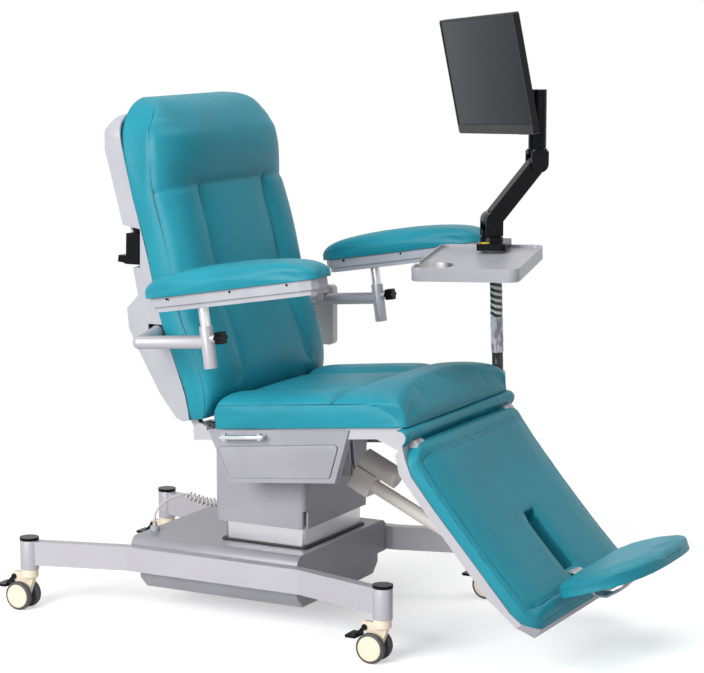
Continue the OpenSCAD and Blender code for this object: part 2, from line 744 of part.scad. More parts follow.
module castor_wheels(x, y) color("dimgray") castor_place(x, y) {
    outer = tread_gap/2 + tread_width;
    cross_rod(axle_dia, -outer, outer, -castor_trail, wheel_dia/2);
    mirror_w() {
        cross_rod(wheel_dia, tread_gap/2, outer, -castor_trail, wheel_dia/2);
        cross_rod(wheel_dia*hub_share, outer, outer + hub_step, -castor_trail, wheel_dia/2);
        cross_rod(hub_bore_dia*2, fork_thick/2 + move_gap/2, tread_gap/2, -castor_trail, wheel_dia/2);
    }
}

module castor_brake(x, y) color("dimgray") castor_place(x, y) {
    cheek = fork_thick/2 + move_gap/2;
    cross_rod(brake_pin_dia, -cheek - brake_cheek, cheek + brake_cheek, brake_pin_l, brake_pin_z);
    mirror_w() {
        cross_rod(brake_hub_dia, cheek, cheek + brake_cheek, brake_pin_l, brake_pin_z);
        side_slab([[brake_pin_l, brake_pin_z + brake_hub_dia/2], [brake_pin_l, brake_pin_z - brake_hub_dia/2],
            [brake_pin_l - pedal_length*0.44, brake_pin_z - pedal_drop],
            [brake_pin_l - pedal_length*0.58, brake_pin_z - pedal_drop]], cheek, cheek + brake_cheek);
    }
    bar(brake_pin_l - pedal_length, brake_pin_l - pedal_length*0.40, -pedal_width/2, pedal_width/2,
        brake_pin_z - pedal_drop - pedal_thick, brake_pin_z - pedal_drop + over);
}

module castor_fork_1() castor_fork(1, -1);
module castor_fork_2() castor_fork(1, 1);
module castor_fork_3() castor_fork(-1, -1);
module castor_fork_4() castor_fork(-1, 1);
module castor_wheels_1() castor_wheels(1, -1);
module castor_wheels_2() castor_wheels(1, 1);
module castor_wheels_3() castor_wheels(-1, -1);
module castor_wheels_4() castor_wheels(-1, 1);
module castor_brake_1() castor_brake(1, -1);
module castor_brake_2() castor_brake(1, 1);
module castor_brake_3() castor_brake(-1, -1);
module castor_brake_4() castor_brake(-1, 1);

// Column

module inner_column() color("lightgray") difference() {
    union() {
        translate([lift_l, 0, deck_top]) linear_extrude(inner_top - deck_top)
            round_plate(inner_length, inner_width, column_round - column_wall);
        for (y = [-1, 1]) bar(lift_l - guide_width/2, lift_l + guide_width/2,
            y > 0 ? inner_width/2 - over : -outer_width/2 + column_wall + guide_gap,
            y > 0 ? outer_width/2 - column_wall - guide_gap : -inner_width/2 + over,
            inner_top - guide_height, inner_top);
        bar(column_front - over, outer_front - column_wall - guide_gap, -guide_width/2, guide_width/2,
            inner_top - guide_height, inner_top);
        bar(outer_rear + column_wall + guide_gap, inner_rear + over, -guide_width/2, guide_width/2,
            inner_top - guide_height, inner_top);
    }
    translate([lift_l, 0, deck_top - over]) linear_extrude(inner_top - deck_top + 2*over)
        round_plate(inner_length - 2*column_wall, inner_width - 2*column_wall, column_round/2);
}

module lift_motor() color("dimgray") {
    up_rod(lift_motor_dia*1.2, deck_top, deck_top + lift_motor_height, lift_l, 0);
    up_rod(lift_screw_dia, deck_top + lift_motor_height - over, lift_screw_top, lift_l, 0);
}

module outer_column() color("silver") {
    lift_ram();
    column_tube();
}

module column_tube() difference() {
    mid = (outer_rear + outer_front)/2;
    translate([mid, 0, outer_foot]) linear_extrude(outer_height)
        round_plate(outer_length, outer_width, column_round);
    translate([mid, 0, outer_foot - over]) linear_extrude(outer_height - top_plate + over)
        round_plate(outer_length - 2*column_wall, outer_width - 2*column_wall, column_round - column_wall);
    mirror_w() bar(outer_front - column_wall - over, outer_front + over,
        outer_width/2 - notch_depth, outer_width/2 + over, outer_foot - over, outer_foot + notch_height);
}

module lift_yoke() color("gray") {
    ear_top = tilt_z;
    bar(tilt_l - outer_length/3, tilt_l + outer_length/3, -yoke_ear_w - yoke_ear, yoke_ear_w + yoke_ear,
        outer_top, outer_top + yoke_plate);
    cross_rod(tilt_shaft_dia, -tilt_shaft_half, tilt_shaft_half, tilt_l, tilt_z);
    mirror_w() {
        cross_rod(yoke_boss_dia*0.82, yoke_ear_w, yoke_ear_w + yoke_ear, tilt_l, tilt_z);
        bar(tilt_l - yoke_boss_dia/2, tilt_l + yoke_boss_dia/2, yoke_ear_w, yoke_ear_w + yoke_ear,
            outer_top, ear_top);
    }
    bar(tilt_rear_l - eye_dia/2, tilt_rear_l + eye_dia/2, outer_width/2, tilt_side_w - eye_width/2 - move_gap,
        tilt_rear_z - eye_dia, tilt_rear_z + eye_dia/2);
    cross_rod(pivot_dia, outer_width/2, tilt_side_w + eye_width/2, tilt_rear_l, tilt_rear_z);
    bar(tilt_rear_l - eye_dia/2, tilt_rear_l + eye_dia/2, yoke_ear_w, outer_width/2 + cover_wall,
        outer_top, outer_top + yoke_plate);
    bar(tilt_rear_l - eye_dia/2, tilt_rear_l + eye_dia/2, outer_width/2, outer_width/2 + cover_wall,
        tilt_rear_z, outer_top + yoke_plate);
}

module lift_ram() difference() {
    up_rod(lift_tube_dia, lift_ram_foot, outer_top - top_plate/2, lift_l, 0);
    up_rod(lift_screw_dia + 2*move_gap, lift_ram_foot - over, outer_top - top_plate, lift_l, 0);
}

// Curly cord

function place3(line, s) = let (n = len(line) - 1, k = min(floor(s*n), n - 1)) line[k]
    + (line[k + 1] - line[k])*(s*n - k);

curl_steps = 8*curl_count;
cord_end = [outer_rear - soft_gap, -70, 288];
curl_path = [for (i = [0:curl_steps]) let (s = i/curl_steps, c = place3(cord_axis, s),
    t = unit(place3(cord_axis, min(s + 0.05, 1)) - place3(cord_axis, max(s - 0.05, 0))),
    side = unit(cross([0, 0, 1], t)), up = cross(t, side), r = curl_radius*min(1, 8*s, 8*(1 - s)))
    c + r*(cos(360*s*curl_count)*side + sin(360*s*curl_count)*up)];
cord_path = concat([cord_start], cord_lead, curl_path, [cord_end - [cord_run_in, 0, 0], cord_end]);

function cord_way(i) = unit(cord_path[min(i + 1, len(cord_path) - 1)] - cord_path[max(i - 1, 0)]);
function cord_side(i) = unit(cross(cord_reference, cord_way(i)));

cord_least_gap = min([for (i = [0:len(cord_path) - 1], j = [i + ring_step:1:len(cord_path) - 1])
    norm(cord_path[i] - cord_path[j])]) - cord_dia;
echo(cord_least_gap = cord_least_gap);

module curly_cord() color("dimgray") loft([for (i = [0:len(cord_path) - 1]) let (s = cord_side(i),
    u = cross(cord_way(i), s)) [for (k = [0:5]) cord_path[i]
    + cord_dia/2*(cos(60*k)*s + sin(60*k)*u)]]);

// Seat

module seat_rail() {
    bar(back_at[0] - hinge_boss_dia/2, seat_depth*rail_front_share, seat_rail_w,
        seat_rail_w + seat_rail_thick, -seat_rail_height - pan_thick, -pan_thick);
    cross_rod(hinge_boss_dia, seat_rail_w, seat_rail_w + seat_rail_thick, back_at[0], back_at[1]);
    cross_rod(hinge_boss_dia*0.9, seat_rail_w, seat_rail_w + seat_rail_thick, leg_at[0], leg_at[1]);
    side_slab([for (p = leg_hinge_shares) leg_at + p*hinge_boss_dia], seat_rail_w,
        seat_rail_w + seat_rail_thick);
}

module sub_rail() {
    w1 = sub_rail_w + sub_rail_thick;
    bar(back_at[0] - hinge_boss_dia*0.4, seat_depth/2, sub_rail_w, w1, -sub_rail_height - pan_thick,
        -pan_thick);
    cross_rod(yoke_boss_dia, sub_rail_w, w1, tilt_at[0], tilt_at[1]);
    bar(tilt_at[0] - yoke_boss_dia/2, tilt_at[0] + yoke_boss_dia/2, sub_rail_w, w1, tilt_at[1], -pan_thick);
}

module seat_frame() color("silver") {
    clevis = eye_width/2 + move_gap;
    link_foot = hinge_origin + crank;
    link_lug_w = level_link_w - level_link_thick - move_gap/2;
    difference() {
        union() {
            on_seat() {
                mirror_w() {
                    seat_rail();
                    sub_rail();
                    bar(leg_mount[0] - eye_dia/2, leg_mount[0] + eye_dia/2, clevis, clevis + clevis_thick,
                        leg_mount[1] - eye_dia/2, -pan_thick);
                }
                bar(over, seat_depth*0.97, -seat_rail_w - seat_rail_thick, seat_rail_w + seat_rail_thick,
                    -pan_thick, 0);
                for (x = cross_shares*seat_depth)
                    bar(x - cross_width/2, x + cross_width/2, -seat_rail_w - over, seat_rail_w + over,
                        -cross_height - pan_thick, -pan_thick);
                cross_rod(pivot_dia, -clevis - over, clevis + over, leg_mount[0], leg_mount[1]);
                // Lug and pin of the tilt actuator's front pivot
                bar(tilt_mount[0] - eye_dia/2, tilt_mount[0] + eye_dia/2, tilt_side_w + clevis,
                    seat_rail_w + over, tilt_mount[1] - eye_dia/2, -pan_thick);
                cross_rod(pivot_dia, tilt_side_w - eye_width/2, tilt_side_w + clevis + over, tilt_mount[0],
                    tilt_mount[1]);
                // Arm of the pole socket
                bar(socket_arm_share*seat_depth, (socket_arm_share + 0.08)*seat_depth,
                    seat_rail_w + over, pole_w + socket_dia*0.6, -seat_rail_height - pan_thick,
                    -pan_thick - cover_wall);
            }
            on_pole() up_rod(socket_dia, -pole_length - pan_thick, -pole_length + socket_height, 0, 0);
            // Pin of the levelling link
            cross_rod(level_link_width*1.2, sub_rail_w, link_lug_w, link_foot[0], link_foot[1]);
            side_slab([link_foot + [-level_link_width/2, 0], link_foot + [level_link_width/2, 0],
                [back_l + hinge_boss_dia, back_z - pan_thick], [back_l - hinge_boss_dia/3, back_z - pan_thick]],
                sub_rail_w, link_lug_w);
            cross_rod(pivot_dia, sub_rail_w, level_link_w + level_link_thick/2, link_foot[0], link_foot[1]);
        }
        on_seat() {
            cross_rod(tilt_shaft_dia + run_clear, -seat_width/2, seat_width/2, tilt_at[0], tilt_at[1]);
            for (p = [back_at, leg_at]) mirror_w() cross_rod(hinge_pin_dia + run_clear, seat_rail_w - over,
                seat_width/2, p[0], p[1]);
        }
        on_pole() up_rod(pole_dia + run_clear, -pole_length, 0, 0, 0);
    }
}

module side_cover() {
    points = [for (p = side_cover_shares) [0, seat_height] + p*seat_depth];
    difference() {
        side_slab(points, side_cover_w - cover_return, side_cover_w + side_cover_wall);
        side_slab([points[0] + [side_cover_wall, over], points[1] + [-side_cover_wall, over],
            points[2] + [-side_cover_wall, -over], points[3] + [side_cover_wall, -over]],
            side_cover_w - cover_return - over, side_cover_w);
        on_seat() bar(-seat_depth, seat_depth, 0, side_cover_w, -seat_rail_height - pan_thick - over,
            seat_depth);
    }
}

module side_covers() color("silver") mirror_w() side_cover();

module side_handles() color("gainsboro") mirror_w() {
    l0 = side_cover_shares[0][0]*seat_depth + handle_set;
    l1 = l0 + handle_grip_l;
    z = seat_height - handle_drop;
    w0 = side_cover_w + side_cover_wall;
    for (l = [l0, l1]) cross_rod(cover_boss_dia, w0, w0 + handle_rise, l, z + (l - l0)*tan(seat_tilt));
    ends = [for (l = [l0 - handle_over, l1 + handle_over]) [l, w0 + handle_rise - handle_dia/4,
        z + (l - l0)*tan(seat_tilt)]];
    tube_between(ends[0], ends[1], handle_dia);
}

module seat_cushion() color("teal") on_seat()
    cushion([[cushion_set, 0], [seat_depth, 0]], seat_width/2, seat_side, seat_crown, seat_station_shares, 1);

module back_drive() color("dimgray") on_seat() difference() {
    w1 = -sub_rail_w - sub_rail_thick;
    union() {
        bar(back_at[0] - drive_length/2, back_at[0] + drive_length/2, w1 - drive_width, w1,
            back_at[1] - drive_height/2, back_at[1] + drive_height/2);
        long_rod(drive_motor_dia, back_at[0], back_at[0] + drive_motor_length,
            w1 - drive_motor_dia/2 - move_gap, -pan_thick - cross_height - drive_motor_dia/2 - move_gap);
    }
    cross_rod(hinge_pin_dia + run_clear, -seat_width/2, 0, back_at[0], back_at[1]);
}

// Actuators

module actuator_at(l, z, angle, w) translate([l, w, z]) rotate([0, -angle, 0]) children();

module actuator_body(tube_reach, motor_side) difference() {
    union() {
        cross_rod(eye_dia, -eye_width/2, eye_width/2, 0, 0);
        bar(0, gear_length*0.3, -eye_width/2, eye_width/2, -eye_dia/2, eye_dia/2);
        bar(gear_length*0.27, gear_length, -gear_width/2, gear_width/2, -gear_height/2, gear_height/2);
        long_rod(actuator_dia, gear_length - over, tube_reach, 0, 0);
        long_rod(motor_dia, gear_length/3, gear_length/3 + motor_length, 0,
            motor_side*(gear_height/2 + motor_dia*0.4));
        bar(gear_length/3, gear_length, -motor_dia/4, motor_dia/4, motor_side > 0 ? 0 : -gear_height*0.9,
            motor_side > 0 ? gear_height*0.9 : 0);
    }
    cross_rod(pivot_dia + run_clear, -gear_width, gear_width, 0, 0);
    long_rod(rod_dia + 2*move_gap, gear_length*0.9, tube_reach + over, 0, 0);
}

module actuator_rod(pivot_gap, rod_length) difference() {
    union() {
        long_rod(rod_dia, pivot_gap - rod_length, pivot_gap - eye_dia/4, 0, 0);
        cross_rod(eye_dia, -eye_width/2, eye_width/2, pivot_gap, 0);
    }
    cross_rod(pivot_dia + run_clear, -gear_width, gear_width, pivot_gap, 0);
}

module leg_actuator() color("gray") actuator_at(leg_rear_l, leg_rear_z, leg_fore_angle, 0)
    actuator_body(leg_tube_length, 1);

module leg_rod() color("gainsboro") actuator_at(leg_rear_l, leg_rear_z, leg_fore_angle, 0)
    actuator_rod(leg_pivot_gap, leg_rod_length);

module tilt_actuator() color("gray") actuator_at(tilt_rear_l, tilt_rear_z, tilt_fore_angle, tilt_side_w)
    actuator_body(tilt_tube_length, -1);

module tilt_rod() color("gainsboro") actuator_at(tilt_rear_l, tilt_rear_z, tilt_fore_angle, tilt_side_w)
    actuator_rod(tilt_pivot_gap, tilt_rod_length);

// Back

back_foot = [for (row = back_station_shares) along(back_line, row[0])];
shell_foot = [for (p = back_foot) if (p[1] < back_z + back_height*shell_inner_shares[0][1]) p];
crank = crank_length*[cos(crank_angle), sin(crank_angle)];
arm_axis = [arm_axis_l, arm_axis_z];

module back_frame() color("silver") difference() {
    union() {
        mirror_w() {
            side_slab(scaled(upright_shares, back_height, hinge_origin), back_plate_w,
                back_plate_w + back_plate);
            cross_rod(hinge_boss_dia, back_plate_w, back_plate_w + back_plate, back_l, back_z);
            cross_rod(hinge_pin_dia, back_plate_w, seat_rail_w + seat_rail_thick, back_l, back_z);
            cross_rod(arm_tube_dia + 2*back_wall, back_plate_w, back_plate_w + back_plate,
                arm_axis_l, arm_axis_z);
        }
        cross_rod(hinge_pin_dia, -back_plate_w - over, -sub_rail_w - sub_rail_thick, back_l, back_z);
        for (s = bar_z_shares) let (p = along(back_line, s)) cross_rod(back_bar_dia,
            -back_plate_w - over, back_plate_w + over, p[0] - back_bar_dia, p[1]);
    }
    cross_rod(arm_tube_dia + run_clear, -seat_width, seat_width, arm_axis_l, arm_axis_z);
}

module shell_front(wall) {
    half = seat_width/2 - wall;
    foot = back_z;
    top = back_z + back_height*shell_rear_shares[0][1] - wall;
    translate([-half, foot]) square([2*half, top - shell_round - foot]);
    translate([-half + shell_round, foot]) square([2*(half - shell_round), top - foot]);
    for (y = [-1, 1]) translate([y*(half - shell_round), top - shell_round]) circle(shell_round);
}

module shell_solid(front, rear, wall) intersection() {
    side_slab(concat(front, [for (i = [0:len(rear) - 1]) hinge_origin + rear[i]*back_height]),
        -seat_width/2 + wall, seat_width/2 - wall);
    translate([back_l - back_height, 0, 0]) rotate([90, 0, 90]) linear_extrude(2*back_height)
        shell_front(wall);
}

module back_shell() color("silver") difference() {
    union() {
        difference() {
            shell_solid(shell_foot, shell_rear_shares, 0);
            shell_solid([for (p = shell_foot) p + [shell_wall, 0]], shell_inner_shares, shell_wall);
        }
        mirror_w() {
            cross_rod(cpr_bar_dia*2, lug_w, lug_w + lug_thick, cpr_l, cpr_z);
            bar(cpr_l, cpr_l + lug_reach, lug_w, lug_w + lug_thick, cpr_z - cpr_bar_dia, cpr_z + cpr_bar_dia);
        }
    }
    cross_rod(cpr_bar_dia + run_clear, -seat_width/2, seat_width/2, cpr_l, cpr_z);
    mirror_w() side_slab([for (p = grip_notch_shares) [cpr_l, cpr_z] + p*grip_height],
        grip_w - 2*move_gap, seat_width/2 + over);
    bar(back_l - seat_depth/2, back_l + seat_depth/2, -shell_notch_w, shell_notch_w, back_z - over,
        shell_notch_top);
    mirror_w() bar(arm_axis_l - arm_slot_length/2, arm_axis_l + arm_slot_length/2,
        seat_width/2 - 2*shell_wall, seat_width/2 + over, arm_axis_z - arm_tube_dia*0.6,
        arm_axis_z + arm_tube_dia*0.6);
}

module back_cushion() color("teal")
    cushion(back_line, seat_width/2, back_side, back_crown, back_station_shares, -1);

module cpr_lever() color("black") {
    cross_rod(cpr_bar_dia, -grip_w - grip_width/2, grip_w + grip_width/2, cpr_l, cpr_z);
    mirror_w() side_slab([for (p = grip_shares) [cpr_l, cpr_z] + p*grip_height], grip_w,
        grip_w + grip_width);
}

module arm_carrier() color("silver") difference() {
    union() {
        cross_rod(arm_tube_dia, -seat_width/2 - over, seat_width/2 + over, arm_axis_l, arm_axis_z);
        mirror_w() {
            tube_between([arm_axis_l, seat_width/2, arm_axis_z], [bend_l, arm_reach, bend_z], arm_tube_dia);
            translate([bend_l, arm_reach, bend_z]) sphere(d = arm_tube_dia + elbow_swell);
            translate([arm_axis_l, seat_width/2, arm_axis_z]) sphere(d = arm_tube_dia + elbow_swell);
            tube_between([bend_l, arm_reach, bend_z], [sleeve_l - over, arm_reach, sleeve_z + post_dia/2],
                arm_tube_dia);
            on_post(1) {
                up_rod(arm_tube_dia, -sleeve_length/2, sleeve_length/2, 0, 0);
                long_rod(knob_dia*0.7, 0, arm_tube_dia/2 + knob_boss, 0, knob_rise);
            }
        }
        // Crank of the levelling link
        side_slab([for (p = [[-1, 0], [1, 0], [1, 1], [-1, 1]]) arm_axis + p[1]*crank
            + p[0]*turned(unit(crank))*level_link_width/2], level_link_w - 2*level_link_thick,
            level_link_w - level_link_thick);
        cross_rod(level_link_width, level_link_w - 2*level_link_thick, level_link_w - level_link_thick,
            arm_axis_l + crank[0], arm_axis_z + crank[1]);
        cross_rod(pivot_dia, level_link_w - level_link_thick - over, level_link_w + level_link_thick/2,
            arm_axis_l + crank[0], arm_axis_z + crank[1]);
    }
    mirror_w() on_post(1) {
        up_rod(post_dia + run_clear, -sleeve_length, sleeve_length, 0, 0);
        long_rod(knob_screw_dia + run_clear, 0, 2*arm_tube_dia, 0, knob_rise);
    }
}

module level_link() color("gray") difference() {
    w0 = level_link_w - level_link_thick + move_gap/2;
    w1 = level_link_w - move_gap/2;
    union() {
        for (p = [hinge_origin + crank, arm_axis + crank]) cross_rod(level_link_width, w0, w1, p[0], p[1]);
        side_slab([for (p = [[-1, 0], [1, 0], [1, 1], [-1, 1]]) hinge_origin + crank
            + p[1]*(arm_axis - hinge_origin)
            + p[0]*turned(unit(arm_axis - hinge_origin))*level_link_width*0.35], w0, w1);
    }
    for (p = [hinge_origin + crank, arm_axis + crank])
        cross_rod(pivot_dia + run_clear, 0, seat_width, p[0], p[1]);
}

module handset() color("wheat") {
    w0 = arm_reach + arm_tube_dia/2 + 2*move_gap;
    translate([handset_l, w0 + handset_thick, handset_top - handset_height/2]) rotate([90, 0, 0])
        linear_extrude(handset_thick) round_plate(handset_length, handset_height, handset_length/5);
    slope = (sleeve_z + post_dia/2 - bend_z)/(sleeve_l - bend_l);
    hook_z = bend_z + (hook_l + hook_half - bend_l)*slope + arm_tube_dia/2 + move_gap;
    bar(hook_l - hook_half, hook_l + hook_half, arm_reach - arm_tube_dia/2 - 2*handset_hook,
        w0 + over, hook_z, hook_z + handset_hook);
    bar(hook_l - hook_half, hook_l + hook_half, arm_reach - arm_tube_dia/2 - 2*handset_hook,
        arm_reach - arm_tube_dia/2 - handset_hook, bend_z, hook_z + handset_hook);
}

// Arms

module on_post(side) translate([sleeve_l, side*arm_reach, sleeve_z]) rotate([0, -post_lean, 0]) children();

module arm_post(side) color("silver") on_post(side)
    up_rod(post_dia, -sleeve_length/2 - post_below, sleeve_length/2 + post_above + post_socket, 0, 0);

module arm_tray_outline(inset) polygon([for (y = [-1, 1], i = [0:len(arm_tray_shares) - 1])
    let (p = arm_tray_shares[y < 0 ? i : len(arm_tray_shares) - 1 - i])
    [p[0]*(pad_length - 2*inset), y*p[1]*(pad_width - 2*inset)]]);

module arm_tray(side) color("silver") difference() {
    union() {
        on_arm(side) {
            translate([0, 0, -arm_tray_depth*0.65]) linear_extrude(arm_tray_depth*0.65)
                arm_tray_outline(arm_tray_inset);
            translate([0, 0, -arm_tray_depth]) linear_extrude(arm_tray_depth*0.35 + over)
                arm_tray_outline(arm_tray_inset*1.8);
        }
    }
    on_post(side) up_rod(post_dia + run_clear, 0, sleeve_length/2 + post_above + post_socket + move_gap, 0, 0);
}

module arm_pad(side) color("teal") on_arm(side)
    cushion([[-pad_length/2, 0], [pad_length/2, 0]], pad_width/2, pad_side, pad_crown,
        pad_station_shares, 1);

module clamp_knob(side) color("black") on_post(side) {
    x0 = arm_tube_dia/2 + knob_boss + move_gap;
    long_rod(knob_screw_dia, post_dia/2 + move_gap, x0 + over, 0, knob_rise);
    long_rod(knob_dia*0.8, x0, x0 + knob_length, 0, knob_rise);
    for (i = [1:knob_lobes]) let (a = 360*i/knob_lobes) long_rod(knob_dia*0.32, x0, x0 + knob_length,
        knob_dia*0.38*cos(a), knob_rise + knob_dia*0.38*sin(a));
}

module arm_post_near() arm_post(-1);
module arm_post_far() arm_post(1);
module arm_tray_near() arm_tray(-1);
module arm_tray_far() arm_tray(1);
module arm_pad_near() arm_pad(-1);
module arm_pad_far() arm_pad(1);
module clamp_knob_near() clamp_knob(-1);
module clamp_knob_far() clamp_knob(1);

// Leg rest

leg_foot = [for (row = leg_station_shares) along(leg_base, row[0])];
leg_back = scaled(leg_back_shares, leg_length, [0, 0]);
leg_half = seat_width/2*leg_half_share;
slot_top = leg_length*slot_top_share;
slot_end = leg_length*slot_end_share;
clevis_w = slot_width/2 + clevis_thick;
guide_top = -leg_length*0.064;

module leg_slot_cut() bar(slot_top, slot_end, -slot_width/2, slot_width/2, -leg_length, leg_length);

module leg_hinge_cut() mirror_w() cross_rod(hinge_boss_dia*1.5, leg_ear_w - 2*move_gap,
    seat_rail_w + seat_rail_thick + 2*move_gap, 0, 0);

module leg_frame() color("silver") on_leg() {
    difference() {
        side_slab(concat([for (p = leg_foot) p - [0, rest_gap]],
            [for (i = [len(leg_back) - 1:-1:0]) leg_back[i]]), -leg_half, leg_half);
        side_slab(concat([for (p = leg_foot) if (p[0] > leg_length*0.04 && p[0] < leg_length*0.955)
            p - [0, cover_wall]], [[leg_length*0.955, -leg_length], [leg_length*0.04, -leg_length]]),
            -leg_half + cover_wall, leg_half - cover_wall);
        leg_slot_cut();
        leg_hinge_cut();
        for (y = [-1, 1]) translate([leg_length, y*leg_half, 0]) rotate([0, 0, 45])
            cube([leg_corner, leg_corner, 2*leg_length], center = true);
    }
    mirror_w() {
        cross_rod(hinge_pin_dia, leg_ear_w, seat_rail_w + seat_rail_thick, 0, 0);
        cross_rod(hinge_boss_dia*0.9, leg_ear_w, leg_ear_w + back_plate, 0, 0);
        side_slab(scaled(leg_ear_shares, leg_length, [0, 0]), leg_ear_w, leg_ear_w + back_plate);
        side_slab(scaled(clevis_shares, leg_length, [0, 0]), clevis_w, clevis_w + clevis_thick);
        cross_rod(eye_dia*0.7, eye_width/2 + move_gap, clevis_w + over, leg_pivot_x, -leg_pivot_drop);
        bar(slot_top - guide_run, slot_end + guide_run, clevis_w - clevis_thick + over, clevis_w + over,
            guide_top - slider_thick - 2*move_gap - guide_lip, guide_top + guide_lip + 2*over);
        bar(slot_top - guide_run, slot_end + guide_run, slot_width/2 - guide_inset*3, clevis_w,
            guide_top - slider_thick - 2*move_gap - guide_lip, guide_top - slider_thick - 2*move_gap);
        bar(slot_top - guide_run, slot_end + guide_run, bracket_width/2 + move_gap, clevis_w,
            guide_top, guide_top + guide_lip);
        bar(slot_top - guide_run, slot_top - guide_run/2, clevis_w - clevis_thick, clevis_w + over,
            guide_top, -leg_length*0.042);
        bar(slot_end + guide_run/2, slot_end + guide_run, clevis_w - clevis_thick, clevis_w + over,
            guide_top, -leg_length*0.028);
    }
    cross_rod(pivot_dia, -clevis_w - over, clevis_w + over, leg_pivot_x, -leg_pivot_drop);
}

module leg_pad() color("teal") on_leg() difference() {
    cushion(leg_base, leg_half, leg_side, leg_crown, leg_station_shares, 1);
    leg_slot_cut();
    leg_hinge_cut();
}

module leg_flap() color("black") on_seat()
    side_slab(band([for (p = flap_line_shares) [seat_depth + p[0]*leg_length, -p[1]*leg_length]],
        flap_thick), -leg_half, leg_half);

module foot_bracket() color("silver") on_leg() {
    side_slab(band(scaled(foot_line_shares, leg_length, [0, 0]), foot_plate), -bracket_width/2,
        bracket_width/2);
    bar(slot_end - slider_length, slot_end - over, -slot_width/2 + guide_inset/2,
        slot_width/2 - guide_inset/2, guide_top - slider_thick - move_gap, guide_top - move_gap);
}

module foot_pad() color("teal") on_foot()
    cushion([[-foot_depth/2, -foot_thick/2], [foot_depth/2, -foot_thick/2]], foot_width/2, foot_thick,
        foot_thick*0.6, foot_station_shares, 1);

// Tray and pole

tray_mid = [tray_width*(0.5 - tray_fore_share) - tray_width*0.116, tray_length*(tray_far_share - 0.5)];

module tray_pole() color("silver") on_pole() up_rod(pole_dia, -pole_length, -2*over, 0, 0);

module pole_wrap() color("black") on_pole() difference() {
    up_rod(wrap_dia, -pole_length*wrap_end_share, -hub_length - 2*move_gap, 0, 0);
    up_rod(pole_dia + run_clear, -pole_length, 0, 0, 0);
}

module tray_table() color("silver") on_pole() {
    cup = [tray_mid[0] + cup_x_share*tray_width, cup_y_share*tray_length];
    box = [tray_mid[0] + box_x_share*tray_width, box_y_share*tray_length];
    difference() {
        union() {
            difference() {
                translate([tray_mid[0], tray_mid[1], -tray_depth]) linear_extrude(tray_depth)
                    round_plate(tray_width, tray_length, tray_corner);
                translate([tray_mid[0], tray_mid[1], -floor_drop]) linear_extrude(floor_drop + over)
                    round_plate(tray_width - 2*tray_wall, tray_length - 2*tray_wall, tray_corner - tray_wall);
                translate([tray_mid[0], tray_mid[1], -tray_depth - over])
                    linear_extrude(tray_depth + over - floor_drop - tray_wall)
                    round_plate(tray_width - 2*tray_wall, tray_length - 2*tray_wall, tray_corner - tray_wall);
            }
            up_rod(hub_dia*1.5, -floor_drop - tray_wall, 0, 0, 0);
            up_rod(hub_dia, -hub_length, 0, 0, 0);
            up_rod(cup_dia + 2*tray_wall, -floor_drop - cup_depth, -floor_drop, cup[0], cup[1]);
            translate([box[0], box[1], -floor_drop - cup_depth/2]) linear_extrude(cup_depth/2)
                round_plate(box_length + 2*tray_wall, box_width + 2*tray_wall, 2*tray_wall);
        }
        up_rod(cup_dia, -floor_drop - cup_depth + tray_wall, over, cup[0], cup[1]);
        translate([box[0], box[1], -floor_drop - cup_depth/2 + tray_wall]) linear_extrude(cup_depth)
            round_plate(box_length, box_width, tray_wall);
        up_rod(pole_dia + run_clear, -pole_length, over, 0, 0);
    }
}

// Monitor arm

elbow_x = link_length*cos(link_rise);
elbow_z = shoulder_z + link_length*sin(link_rise);
elbow_l = shoulder_l + elbow_x*cos(arm_azimuth);
elbow_w = pole_w + elbow_x*sin(arm_azimuth);

module on_shoulder() translate([shoulder_l, pole_w, 0]) rotate([0, 0, arm_azimuth]) children();

module on_elbow() translate([elbow_l, elbow_w, 0]) rotate([0, 0, screen_yaw]) children();

module arm_clamp() color("black") difference() {
    union() {
        on_pole() translate([0, -clamp_length/8, 0]) linear_extrude(clamp_height)
            round_plate(clamp_width, clamp_length, clamp_height/2);
        up_rod(foot_flare_dia, pole_z + clamp_height/2, spindle_top, shoulder_l, pole_w);
    }
    up_rod(spindle_dia + run_clear, spindle_foot - move_gap, spindle_top + over, shoulder_l, pole_w);
}

module arm_shoulder() color("black") on_shoulder() {
    up_rod(spindle_dia, spindle_foot, spindle_top + over, 0, 0);
    up_rod(foot_flare_dia*0.9, spindle_top + move_gap/2, shoulder_z - link_dia/2 - move_gap, 0, 0);
    cross_rod(arm_pin_dia, -cheek_set - over, cheek_set + over, 0, shoulder_z);
    mirror_w() {
        cross_rod(link_dia, cheek_set, cheek_set + cheek_thick, 0, shoulder_z);
        bar(-link_dia/2, link_dia/2, cheek_set, cheek_set + cheek_thick, spindle_top + 4*move_gap,
            shoulder_z);
    }
}

module arm_link() color("black") on_shoulder() {
    half = cheek_set - move_gap/2;
    difference() {
        union() {
            cross_rod(link_dia, -half, half, 0, shoulder_z);
            cross_rod(link_dia, -half, half, elbow_x, elbow_z);
            translate([0, 0, shoulder_z]) rotate([0, -link_rise, 0])
                bar(link_dia*0.3, link_length - link_dia*0.3, over - half, half - over, -link_dia*0.46,
                    link_dia*0.46);
        }
        cross_rod(arm_pin_dia + run_clear, -link_dia, link_dia, 0, shoulder_z);
        cross_rod(arm_pin_dia + run_clear, -link_dia, link_dia, elbow_x, elbow_z);
    }
}

